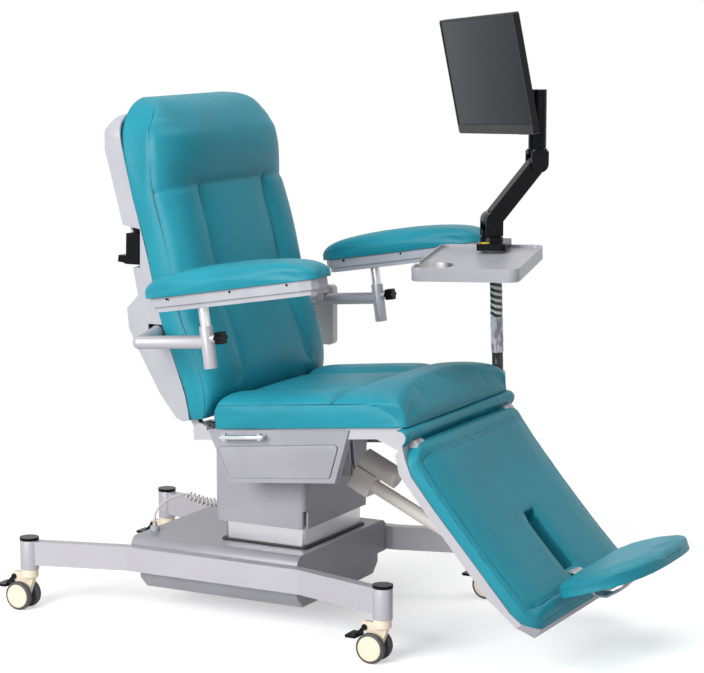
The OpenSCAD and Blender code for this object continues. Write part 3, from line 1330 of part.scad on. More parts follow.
module arm_head() color("black") on_shoulder() {
    cross_rod(arm_pin_dia, -cheek_set - over, cheek_set + over, elbow_x, elbow_z);
    mirror_w() {
        cross_rod(link_dia, cheek_set, cheek_set + cheek_thick, elbow_x, elbow_z);
        bar(elbow_x - link_dia/2, elbow_x + link_dia/2, cheek_set, cheek_set + cheek_thick, elbow_z,
            elbow_z + link_dia*0.7);
    }
    up_rod(foot_flare_dia*0.9, elbow_z + link_dia/2 + move_gap, elbow_z + link_dia*0.8, elbow_x, 0);
    up_rod(neck_dia, elbow_z + link_dia*0.7, neck_top, elbow_x, 0);
}

module vesa_bracket() color("black") on_elbow() difference() {
    hinge_y = -screen_back + tilt_hinge_back;
    cross_y = hinge_y + eye_dia*0.75;
    union() {
        up_rod(neck_dia*1.45, elbow_z + link_dia*0.8 + move_gap, neck_top + neck_dia/2, 0, 0);
        bar(-neck_dia/2, neck_dia/2, cross_y, 0, neck_top - neck_dia, neck_top + neck_dia/2);
        for (x = [-1, 1]) {
            translate([x > 0 ? bracket_half : -bracket_half - cheek_thick, hinge_y, tilt_hinge_z])
                rotate([0, 90, 0]) cylinder(d = eye_dia, h = cheek_thick);
            bar(x > 0 ? bracket_half : -bracket_half - cheek_thick,
                x > 0 ? bracket_half + cheek_thick : -bracket_half, hinge_y, cross_y + cheek_thick,
                tilt_hinge_z - eye_dia/2, tilt_hinge_z + eye_dia/2);
        }
        bar(-bracket_half - over, bracket_half + over, cross_y, cross_y + cheek_thick,
            neck_top - neck_dia, tilt_hinge_z + eye_dia/2);
        translate([-bracket_half - over, hinge_y, tilt_hinge_z]) rotate([0, 90, 0])
            cylinder(d = pivot_dia, h = 2*bracket_half + 2*over);
    }
    up_rod(neck_dia + run_clear, 0, neck_top + move_gap, 0, 0);
}

module on_screen() on_elbow() translate([0, -screen_back, screen_z]) rotate([screen_tilt, 0, 0])
    rotate([0, screen_roll, 0]) children();

module upright_plate(width, height, corner, y0, y1) translate([0, y1, 0]) rotate([90, 0, 0])
    linear_extrude(y1 - y0) round_plate(width, height, corner);

module monitor() color("black") difference() {
    hinge_y = -screen_back + tilt_hinge_back;
    half = bracket_half - move_gap/2;
    union() {
        on_screen() {
            upright_plate(monitor_width, monitor_height, monitor_thick/2, 0, monitor_thick);
            upright_plate(monitor_width*bulge_width_share, monitor_height*bulge_height_share, bulge_depth,
                monitor_thick - over, monitor_thick + bulge_depth);
        }
        on_elbow() {
            translate([-half, hinge_y, tilt_hinge_z]) rotate([0, 90, 0]) cylinder(d = eye_dia, h = 2*half);
            bar(-half, half, hinge_y - bulge_depth, hinge_y, tilt_hinge_z - eye_dia/2,
                tilt_hinge_z + eye_dia/2);
        }
    }
    on_screen() translate([0, 0, screen_chin/2 - screen_inset/2]) upright_plate(
        monitor_width - 2*screen_inset, monitor_height - screen_chin - screen_inset, screen_inset,
        -over, screen_depth);
    on_elbow() translate([-link_dia, hinge_y, tilt_hinge_z]) rotate([0, 90, 0])
        cylinder(d = pivot_dia + run_clear, h = 2*link_dia);
}

chair() base_frame();
chair() tube_caps();
chair() base_cover();
chair() base_tray();
chair() inner_column();
chair() lift_motor();
chair() cord_socket();
chair() castor_fork_1();
chair() castor_fork_2();
chair() castor_fork_3();
chair() castor_fork_4();
chair() castor_wheels_1();
chair() castor_wheels_2();
chair() castor_wheels_3();
chair() castor_wheels_4();
chair() castor_brake_1();
chair() castor_brake_2();
chair() castor_brake_3();
chair() castor_brake_4();
chair() outer_column();
chair() lift_yoke();
chair() curly_cord();
chair() seat_frame();
chair() side_covers();
chair() side_handles();
chair() seat_cushion();
chair() back_drive();
chair() leg_actuator();
chair() leg_rod();
chair() tilt_actuator();
chair() tilt_rod();
chair() back_frame();
chair() back_shell();
chair() back_cushion();
chair() cpr_lever();
chair() arm_carrier();
chair() level_link();
chair() handset();
chair() arm_post_near();
chair() arm_post_far();
chair() arm_tray_near();
chair() arm_tray_far();
chair() arm_pad_near();
chair() arm_pad_far();
chair() clamp_knob_near();
chair() clamp_knob_far();
chair() leg_frame();
chair() leg_pad();
chair() leg_flap();
chair() foot_bracket();
chair() foot_pad();
chair() tray_pole();
chair() pole_wrap();
chair() tray_table();
chair() arm_clamp();
chair() arm_shoulder();
chair() arm_link();
chair() arm_head();
chair() vesa_bracket();
chair() monitor();
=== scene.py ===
"""The looks of a dialysis recliner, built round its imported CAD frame. All sizes are in metres."""

import math

import bmesh
import bpy
import numpy as np
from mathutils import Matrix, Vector, kdtree, noise
from numpy.linalg import norm


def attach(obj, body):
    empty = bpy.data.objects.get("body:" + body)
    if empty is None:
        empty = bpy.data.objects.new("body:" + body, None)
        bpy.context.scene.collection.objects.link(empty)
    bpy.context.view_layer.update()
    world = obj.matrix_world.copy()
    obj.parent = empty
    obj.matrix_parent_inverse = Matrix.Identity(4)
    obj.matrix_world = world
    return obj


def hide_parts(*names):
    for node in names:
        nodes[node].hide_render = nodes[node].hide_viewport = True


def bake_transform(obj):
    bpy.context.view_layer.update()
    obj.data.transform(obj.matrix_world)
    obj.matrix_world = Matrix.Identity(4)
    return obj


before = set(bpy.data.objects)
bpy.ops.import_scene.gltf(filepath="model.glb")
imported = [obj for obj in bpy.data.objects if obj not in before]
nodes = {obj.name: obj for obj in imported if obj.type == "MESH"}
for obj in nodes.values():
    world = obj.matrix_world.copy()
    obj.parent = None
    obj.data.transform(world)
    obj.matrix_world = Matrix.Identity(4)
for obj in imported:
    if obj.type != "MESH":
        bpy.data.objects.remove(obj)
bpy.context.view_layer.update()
scene = bpy.context.scene


# Places. The chair is drawn with l forward, w to its far side and z up, and then turned into the row frame.
CHAIR_SHIFT = 0.0052


def row(l, w, z):
    return Vector((w, CHAIR_SHIFT - l, z))


def rotation(axis, degrees):
    c, s = math.cos(math.radians(degrees)), math.sin(math.radians(degrees))
    return np.array({"x": [[1, 0, 0], [0, c, -s], [0, s, c]],
                     "y": [[c, 0, s], [0, 1, 0], [-s, 0, c]],
                     "z": [[c, -s, 0], [s, c, 0], [0, 0, 1]]}[axis])


class Place:
    """A local frame of the chair: an origin (l, w, z) and the turns applied to what stands in it."""

    def __init__(self, origin, *turns, parent=None):
        self.turn = np.eye(3)
        for axis, degrees in turns:
            self.turn = self.turn @ rotation(axis, degrees)
        self.origin = np.array(origin, float)
        if parent is not None:
            self.origin = parent.turn @ self.origin + parent.origin
            self.turn = parent.turn @ self.turn

    def __call__(self, points):
        p = np.asarray(points, float).reshape(-1, 3) @ self.turn.T + self.origin
        return np.column_stack([p[:, 1], CHAIR_SHIFT - p[:, 0], p[:, 2]])

    def at(self, *point):
        return self([point])[0]

    def way(self, *direction):
        return self.at(*direction) - self.at(0, 0, 0)


CHAIR = Place((0, 0, 0))
SEAT = Place((-0.238, 0, 0.515), ("y", -5.45))
LEG = Place((0.306, 0, 0.517), ("y", 51))
FOOT = Place((0.510, 0, 0.165), ("y", -69.5), parent=LEG)
ARMS = {"near": Place((-0.0723, -0.444, 0.8952), ("y", -9.25)),
        "far": Place((-0.0723, 0.444, 0.8952), ("y", -9.25))}
POLE = Place((0.2452, 0.3264, 0.9306), ("z", 12.96), ("x", 3.46), ("y", -1.1))
ELBOW = Place((0.3243, 0.4088, 0), ("z", -43.1))
SCREEN = Place((0, -0.148, 1.371), ("x", 10.3), ("y", -3), parent=ELBOW)

# The camera stands where the photograph was taken from.
CAMERA_AT = (-4.9964, -2.6331, 1.5806)
CAMERA_LOOKS_AT = (0, 0.0049, 0.7241)
CAMERA_LENS = 116.14


def make_camera():
    data = bpy.data.cameras.new("photo_camera")
    data.lens, data.sensor_width, data.sensor_fit = CAMERA_LENS, 36, "HORIZONTAL"
    camera = bpy.data.objects.new("photo_camera", data)
    scene.collection.objects.link(camera)
    camera.location = CAMERA_AT
    camera.rotation_euler = (Vector(CAMERA_LOOKS_AT) - Vector(CAMERA_AT)).to_track_quat("-Z", "Y").to_euler()
    scene.camera = camera
    scene.view_settings.view_transform = "Standard"


make_camera()


# Materials
def cleared(owner):
    owner.use_nodes = True
    owner.node_tree.nodes.clear()
    return owner.node_tree


def new_material(name):
    m = bpy.data.materials.new(name)
    return m, cleared(m)


def node(tree, kind, inputs=None, **settings):
    n = tree.nodes.new("ShaderNode" + kind)
    for key, value in settings.items():
        setattr(n, key, value)
    for key, value in (inputs or {}).items():
        if isinstance(value, bpy.types.NodeSocket):
            tree.links.new(value, n.inputs[key])
        else:
            n.inputs[key].default_value = value
    return n


def calc(tree, operation, *values):
    return node(tree, "Math", dict(enumerate(values)), operation=operation).outputs[0]


def shaded(m, inputs):
    """Ends a material with its shader; constant values are set on the shader's own sockets."""
    shader = node(m.node_tree, "BsdfPrincipled", inputs)
    node(m.node_tree, "OutputMaterial", {"Surface": shader.outputs[0]})
    return m


def object_noise(tree, scale, detail=3, stretch=(1, 1, 1)):
    """Noise in metres of the object's own space; scale is in cells to the metre."""
    where = node(tree, "TexCoord").outputs["Object"]
    if stretch != (1, 1, 1):
        where = node(tree, "Mapping", {"Vector": where, "Scale": stretch}).outputs[0]
    return node(tree, "TexNoise", {"Vector": where, "Scale": scale, "Detail": detail}).outputs[0]


def two_colours(tree, fac, low, high, start=0.35, end=0.65):
    ramp = node(tree, "ValToRGB", {"Fac": fac})
    for element, at, colour in zip(ramp.color_ramp.elements, (start, end), (low, high)):
        element.position, element.color = at, (*colour, 1)
    return ramp.outputs[0]


def shade(colour, by):
    return tuple(min(1, c * by) for c in colour)


def ramp_value(tree, fac, from_low, from_high, to_low, to_high):
    return node(tree, "MapRange", {"Value": fac, "From Min": from_low, "From Max": from_high,
                                   "To Min": to_low, "To Max": to_high}).outputs[0]


def bump(tree, height, strength, distance, normal=None):
    inputs = {"Height": height, "Strength": strength, "Distance": distance}
    if normal is not None:
        inputs["Normal"] = normal
    return node(tree, "Bump", inputs).outputs[0]


def leather(name, colour):
    """Artificial leather: pebbled grain, a soft sheen, painted shade that darkens the colour along the seams,
    and faint creases beside them.
    """
    m, tree = new_material(name)
    where = node(tree, "TexCoord").outputs["Object"]
    grain = node(tree, "TexVoronoi", {"Vector": where, "Scale": 900.0, "Randomness": 0.9}).outputs["Distance"]
    cloud = object_noise(tree, 5, 3)
    seam = node(tree, "Attribute", attribute_name="seam").outputs["Fac"]
    # painted shade: within a few millimetres of each seam and top line the colour darkens to 0.30 of the
    # leather's, standing for the shade in the groove
    line = ramp_value(tree, seam, 0.0006, 0.0024, 1, 0)
    field = two_colours(tree, cloud, shade(colour, 0.92), shade(colour, 1.07))
    sewn = node(tree, "Mix", {"Factor": line, "A": field, "B": (*shade(colour, 0.30), 1)}, data_type="RGBA")
    fine = bump(tree, grain, 0.16, 0.0006)
    return shaded(m, {"Base Color": sewn.outputs["Result"],
                      "Roughness": ramp_value(tree, cloud, 0.3, 0.7, 0.40, 0.48),
                      "Normal": bump(tree, object_noise(tree, 1700, 2), 0.08, 0.0003, fine),
                      "Specular IOR Level": 0.27})


def surface(name, colour, tones, tint, rough, gloss, relief=None, metallic=0, specular=0.5):
    """Tones of a colour over the tint noise, roughness over the gloss noise, bumps from the relief noise."""
    m, tree = new_material(name)
    low, high = (shade(colour, by) for by in tones)
    inputs = {"Base Color": two_colours(tree, object_noise(tree, *tint), low, high),
              "Roughness": ramp_value(tree, object_noise(tree, *gloss), 0.3, 0.7, *rough),
              "Metallic": metallic, "Specular IOR Level": specular}
    if relief:
        scale, detail, strength, distance = relief
        inputs["Normal"] = bump(tree, object_noise(tree, scale, detail), strength, distance)
    return shaded(m, inputs)


def paint(name, colour):
    """Silver powder coat: fine flake, slight orange peel and a little rubbing."""
    return surface(name, colour, (0.94, 1.05), (2600, 2), (0.37, 0.48), (7, 4), (420, 2, 0.06, 0.0004), 0.35)


def moulding(name, colour, rough=0.45, grain=0.10, specular=0.5):
    """Moulded plastic with a spark-eroded grain."""
    return surface(name, colour, (0.95, 1.04), (9, 3), (rough - 0.04, rough + 0.04), (9, 3),
                   (1500, 3, grain, 0.0004), specular=specular)


def steel(name, colour, rough):
    """Polished or brushed metal with fine drawn lines."""
    drawn = (500, 2, (1, 1, 12))
    return surface(name, colour, (0.96, 1.03), drawn, (rough - 0.03, rough + 0.05), drawn, metallic=1)


def screen_glass(name, colour):
    """A dark matt display: a fine pixel grid under a soft coating."""
    m, tree = new_material(name)
    where = node(tree, "TexCoord").outputs["Object"]
    grid = node(tree, "TexChecker", {"Vector": where, "Scale": 1800.0}).outputs["Fac"]
    base = two_colours(tree, object_noise(tree, 3, 2), shade(colour, 0.85), shade(colour, 1.15))
    mixed = node(tree, "Mix", {"Factor": ramp_value(tree, grid, 0, 1, 0, 0.12), "A": base,
                               "B": (*shade(colour, 0.6), 1)}, data_type="RGBA")
    return shaded(m, {"Base Color": mixed.outputs["Result"], "Roughness": 0.22, "Specular IOR Level": 0.08})


def film(name, colour):
    """Crumpled clear wrapping film, with painted shade darkening the colour in its fold valleys."""
    m, tree = new_material(name)
    folds = object_noise(tree, 90, 4, (1, 1, 0.4))
    # painted shade: where the fold noise is low, in the valleys of the bumps, the colour darkens to 0.4
    return shaded(m, {"Base Color": two_colours(tree, folds, shade(colour, 0.4), colour, 0.42, 0.54),
                      "Normal": bump(tree, folds, 0.7, 0.003), "Roughness": 0.22})


def banded(name, dark, pale, pitch=0.016):
    """Black and white tape wound in a spiral round the pole."""
    m, tree = new_material(name)
    place = node(tree, "SeparateXYZ", {"Vector": node(tree, "TexCoord").outputs["Object"]})
    x = calc(tree, "SUBTRACT", place.outputs[0], POLE.origin[1])
    y = calc(tree, "SUBTRACT", place.outputs[1], CHAIR_SHIFT - POLE.origin[0])
    height = calc(tree, "MULTIPLY", place.outputs[2], 2 * math.pi / pitch)
    wave = calc(tree, "SINE", calc(tree, "ADD", height, calc(tree, "ARCTAN2", y, x)))
    rough_edge = calc(tree, "ADD", wave, object_noise(tree, 160, 3))
    return shaded(m, {"Base Color": two_colours(tree, rough_edge, dark, pale, 0.60, 0.72), "Roughness": 0.34})



TEAL = (0.014, 0.262, 0.345)
MATERIALS = {
    "upholstery": leather("teal_leather", TEAL),
    "thread": moulding("teal_thread", shade(TEAL, 1.35), 0.6),
    "frame_paint": paint("silver_paint", (0.49, 0.48, 0.515)),
    "shell_plastic": moulding("grey_moulding", (0.45, 0.45, 0.49), 0.38, 0.08),
    "cover_plastic": moulding("cover_moulding", (0.350, 0.345, 0.385), 0.36, 0.06),
    "black_plastic": moulding("black_moulding", (0.006, 0.006, 0.008), 0.22, 0.04, 0.10),
    "dark_plastic": moulding("dark_moulding", (0.008, 0.008, 0.011), 0.30, 0.05, 0.14),
    "castor_plastic": moulding("beige_moulding", (0.86, 0.74, 0.58), 0.42, 0.05),
    "motor_plastic": moulding("motor_moulding", (0.80, 0.74, 0.69), 0.42),
    "castor_tyre": moulding("grey_tyre", (0.070, 0.068, 0.072), 0.55, 0.3),
    "bright_steel": steel("chrome", (0.80, 0.80, 0.82), 0.12),
    "satin_steel": steel("satin_steel", (0.66, 0.66, 0.68), 0.28),
    "dish_steel": steel("dish_steel", (0.36, 0.35, 0.36), 0.36),
    "cord_rubber": moulding("cord_jacket", (0.62, 0.60, 0.57), 0.4),
    "black_cord": moulding("black_jacket", (0.014, 0.014, 0.016), 0.4),
    "screen": screen_glass("display", (0.008, 0.010, 0.018)),
    "film": film("clear_film", (0.62, 0.61, 0.68)),
    "tape": banded("wound_tape", (0.02, 0.02, 0.02), (0.75, 0.75, 0.76)),
    "yellow": moulding("yellow_label", (0.72, 0.55, 0.03), 0.4),
    "handset": moulding("pale_moulding", (0.78, 0.76, 0.72), 0.4),
    "gasket": moulding("rubber_seal", (0.02, 0.02, 0.022), 0.6),
    # painted shade: this near-black moulding is laid as thin sheets where grooves and recesses fall in shadow
    "recess": moulding("recess_shadow", (0.05, 0.05, 0.055), 0.7),
}
SLOTS = {"thread": "upholstery", "cover_plastic": "shell_plastic", "motor_plastic": "castor_plastic",
         "satin_steel": "bright_steel", "dish_steel": "bright_steel", "black_cord": "cord_rubber",
         "screen": "dark_plastic", "handset": "castor_plastic",
         **dict.fromkeys(("film", "tape", "yellow", "gasket", "recess"), "black_plastic")}


def dress(obj, material):
    obj.data.materials.clear()
    obj.data.materials.append(MATERIALS[material])
    return obj


# Mesh helpers
def vectors(items, key):
    """One vector of every item of a Blender collection, as rows."""
    out = np.zeros(len(items) * 3, np.float32)
    items.foreach_get(key, out)
    return out.reshape(-1, 3)


def welded(name, vertices, faces, apart):
    """A linked object, its double vertices merged and its normals turned outward."""
    mesh = bpy.data.meshes.new(name)
    mesh.from_pydata([tuple(v) for v in vertices], [], [tuple(int(i) for i in f) for f in faces])
    bm = bmesh.new()
    bm.from_mesh(mesh)
    bmesh.ops.remove_doubles(bm, verts=bm.verts, dist=apart)
    bmesh.ops.recalc_face_normals(bm, faces=bm.faces)
    bm.to_mesh(mesh)
    bm.free()
    obj = bpy.data.objects.new(name, mesh)
    scene.collection.objects.link(obj)
    return obj


def new_object(name, vertices, faces, material, smooth=True):
    obj = welded(name, vertices, faces, 1e-6)
    if smooth:
        obj.data.shade_smooth()
    return dress(obj, material)


def piece(name, mesh, material, body, smooth=True):
    """A dressed object that rides on a body; mesh is its vertices and faces."""
    obj = new_object(name, *mesh, material, smooth)
    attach(obj, body)
    return obj


def ring_faces(rings, n, ends):
    """Faces between closed rings of n points, and over the rings named as ends."""
    between = [(i * n + k, i * n + (k + 1) % n, (i + 1) * n + (k + 1) % n, (i + 1) * n + k)
               for i in range(rings - 1) for k in range(n)]
    return between + [tuple(range(i * n, (i + 1) * n)) for i in ends]


def grid_faces(index, skip=None):
    """Faces over a grid of vertex numbers, but for those that skip picks out."""
    return [(index[i, j], index[i + 1, j], index[i + 1, j + 1], index[i, j + 1])
            for i in range(index.shape[0] - 1) for j in range(index.shape[1] - 1)
            if not (skip and skip(i, j))]


def search_tree(points):
    tree = kdtree.KDTree(len(points))
    for i, p in enumerate(points):
        tree.insert(p, i)
    tree.balance()
    return tree



def joined(parts):
    """Vertices and faces of several small meshes as one."""
    vertices, faces = [], []
    for v, f in parts:
        start = len(vertices)
        vertices.extend(np.asarray(v).reshape(-1, 3).tolist())
        faces.extend([tuple(int(i) + start for i in face) for face in f])
    return vertices, faces


def axes_of(direction):
    d = np.asarray(direction, float)
    d = d / norm(d)
    side = np.cross(d, [0, 0, 1] if abs(d[2]) < 0.9 else [1, 0, 0])
    side /= norm(side)
    return d, side, np.cross(d, side)


def around(centre, radius, side, up, steps):
    angles = 2 * math.pi * np.arange(steps) / steps
    return [centre + radius * (math.cos(a) * side + math.sin(a) * up) for a in angles]


def lathe(profile, centre, axis, steps=48):
    """A turned solid: profile is (way along the axis, radius), centre and axis are in the row frame."""
    d, side, up = axes_of(axis)
    centre = np.asarray(centre, float)
    vertices = [p for along, radius in profile for p in around(centre + d * along, radius, side, up, steps)]
    ends = [i for i in (0, len(profile) - 1) if profile[i][1] > 1e-6]
    return vertices, ring_faces(len(profile), steps, ends)


def screw_head(centre, axis, radius):
    """A domed screw head with a crossed recess round its middle."""
    return lathe([(-0.0005, radius), (0.0006, radius), (0.0016, radius * 0.8), (0.0021, radius * 0.45),
                  (0.0012, radius * 0.35), (0.0012, 0)], centre, axis, 20)


def tube(points, radius, sides=12):
    """A round tube along points, its frame carried along so that it never twists."""
    p = np.asarray(points, float)
    way = np.gradient(p, axis=0)
    way /= norm(way, axis=1)[:, None]
    _, side, _ = axes_of(way[0])
    vertices = []
    for i in range(len(p)):
        side = side - way[i] * (side @ way[i])
        side /= norm(side)
        r = radius if np.isscalar(radius) else radius[i]
        vertices += around(p[i], r, side, np.cross(way[i], side), sides)
    return vertices, ring_faces(len(p), sides, (0, len(p) - 1))



def reach_along(points):
    """The length along a path up to each of its points."""
    return np.concatenate([[0], np.cumsum(norm(np.diff(points, axis=0), axis=1))])


def smooth_path(points, step):
    """A Catmull-Rom curve through the points, sampled about every step."""
    p = np.asarray(points, float)
    p = np.vstack([2 * p[0] - p[1], p, 2 * p[-1] - p[-2]])
    out = []
    for i in range(1, len(p) - 2):
        count = max(2, int(norm(p[i + 1] - p[i]) / step))
        for k in range(count):
            t = k / count
            out.append(0.5 * ((2 * p[i]) + (p[i + 1] - p[i - 1]) * t
                              + (2 * p[i - 1] - 5 * p[i] + 4 * p[i + 1] - p[i + 2]) * t ** 2
                              + (3 * p[i] - p[i - 1] - 3 * p[i + 1] + p[i + 2]) * t ** 3))
    out.append(p[-2])
    return np.array(out)


def rounded_outline(length, width, corner, steps=8):
    points = []
    for cx, cy, first in ((1, 1, 0), (-1, 1, 90), (-1, -1, 180), (1, -1, 270)):
        for k in range(steps + 1):
            a = math.radians(first + 90 * k / steps)
            points.append((cx * (length / 2 - corner) + corner * math.cos(a),
                           cy * (width / 2 - corner) + corner * math.sin(a)))
    return points


def raised_plate(outline, thick, edge, place_points):
    """A plate with a rounded upper edge: outline (x, y), built upward along z and then placed."""
    o = np.array(outline)
    mid = o.mean(axis=0)
    size = np.abs(o - mid).max(axis=0)
    levels = [(0, 0)] + [(edge * (1 - math.cos(a)), thick - edge + edge * math.sin(a))
                         for a in np.linspace(0, math.pi / 2, 5)]
    vertices, n = [], len(o)
    for inset, z in levels:
        ring = mid + (o - mid) * (1 - inset / size)
        vertices.extend([(x, y, z) for x, y in ring])
    return place_points(vertices), ring_faces(len(levels), n, (0, len(levels) - 1))


# Curly cord between the base and the lifting column: its route is the CAD source's, in metres.
CORD_START = (-0.492, -0.160, 0.226)
CORD_LEAD = [
    (-0.492, -0.16, 0.232), (-0.49, -0.158, 0.25), (-0.478, -0.148, 0.272), (-0.458, -0.134, 0.288),
    (-0.436, -0.116, 0.295)]
CORD_AXIS = [
    (-0.43, -0.11, 0.296), (-0.405, -0.098, 0.286), (-0.375, -0.086, 0.277), (-0.345, -0.076, 0.276),
    (-0.322, -0.07, 0.284)]
CORD_END = [(-0.3125, -0.070, 0.288), (-0.3035, -0.070, 0.288)]
CORD_DIA = 0.005
CURL_COUNT = 11
CURL_RADIUS = 0.0094


def curly_points(rings_a_curl=16):
    axis = smooth_path(CORD_AXIS, 0.001)
    reach = reach_along(axis)
    reach /= reach[-1]

    def on_axis(s):
        return np.array([np.interp(s, reach, axis[:, k]) for k in range(3)])

    points = []
    total = CURL_COUNT * rings_a_curl
    for i in range(total + 1):
        s = i / total
        ahead = on_axis(min(1, s + 0.05)) - on_axis(max(0, s - 0.05))
        ahead /= norm(ahead)
        side = np.cross([0, 0, 1], ahead)
        side /= norm(side)
        up = np.cross(ahead, side)
        r = CURL_RADIUS * min(1, 8 * s, 8 * (1 - s))
        a = 2 * math.pi * s * CURL_COUNT
        points.append(on_axis(s) + r * (math.cos(a) * side + math.sin(a) * up))
    lead = smooth_path([CORD_START, *CORD_LEAD, points[0]], 0.004)[:-1]
    return np.vstack([lead, points, CORD_END])


def make_curly_cord():
    path = CHAIR(curly_points())
    vertices, faces = tube(path, CORD_DIA / 2, 12)
    cord = new_object("curly_cord_jacket", vertices, faces, "cord_rubber")
    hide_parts("curly_cord")
    length = float(reach_along(path)[-1])
    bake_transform(cord)


make_curly_cord()


# Padded pieces. Each is lofted along its CAD solid's foot line, sewn at its seams, blown up by a short
# cloth simulation with the seams held, and then grooved and stitched.
ACROSS = [0, 0.2, 0.38, 0.48, 0.52, 0.56, 0.66, 0.78, 0.88, 0.95, 0.985, 1]
PLAIN = [1, 1, 0.99, 0.98, 0.97, 0.96, 0.925, 0.83, 0.66, 0.44, 0.22, 0]
PANEL = [0.62, 0.62, 0.6, 0.52, 0.34, 0.62, 0.9, 0.95, 0.82, 0.56, 0.28, 0]
WAIST = 0.006
SIDE_ROWS = 9
GROOVES = ((0.0016, 0.0024), (0.0012, 0.011))
CREASES, CREASE_REACH = ((55, 0.0007), (14, 0.0009)), 0.016
THREAD_END, THREAD_LIFT, THREAD_RADII = 0.0001, 0.0005, (0.0003, 0.0005, 0.0005, 0.0003)
END_ROWS = [0.004, 0.009, 0.991, 0.996]
# What the simulation holds: shares of a step beside the seams and the foot, metres round the slot
SEAM_HOLD, FOOT_HOLD, SLOT_HOLD, FREE_REACH = 0.8, 0.9, 0.012, 0.03
SIM_FRAMES = 14
PRESSURE = 4


def pchip(x, xs, ys):
    """Smooth interpolation that never overshoots its points."""
    x, xs, ys = np.asarray(x, float), np.asarray(xs, float), np.asarray(ys, float)
    h, d = np.diff(xs), np.diff(ys) / np.diff(xs)
    slope = np.zeros_like(ys)
    same = d[:-1] * d[1:] > 0
    w1, w2 = 2 * h[1:] + h[:-1], h[1:] + 2 * h[:-1]
    with np.errstate(divide="ignore", invalid="ignore"):
        mean = (w1 + w2) / (w1 / d[:-1] + w2 / d[1:])
    slope[1:-1] = np.where(same, mean, 0)
    slope[0], slope[-1] = d[0], d[-1]
    i = np.clip(np.searchsorted(xs, x, side="right") - 1, 0, len(xs) - 2)
    t = (x - xs[i]) / h[i]
    return (ys[i] * (1 + 2 * t) * (1 - t) ** 2 + h[i] * slope[i] * t * (1 - t) ** 2
            + ys[i + 1] * t * t * (3 - 2 * t) + h[i] * slope[i + 1] * t * t * (t - 1))


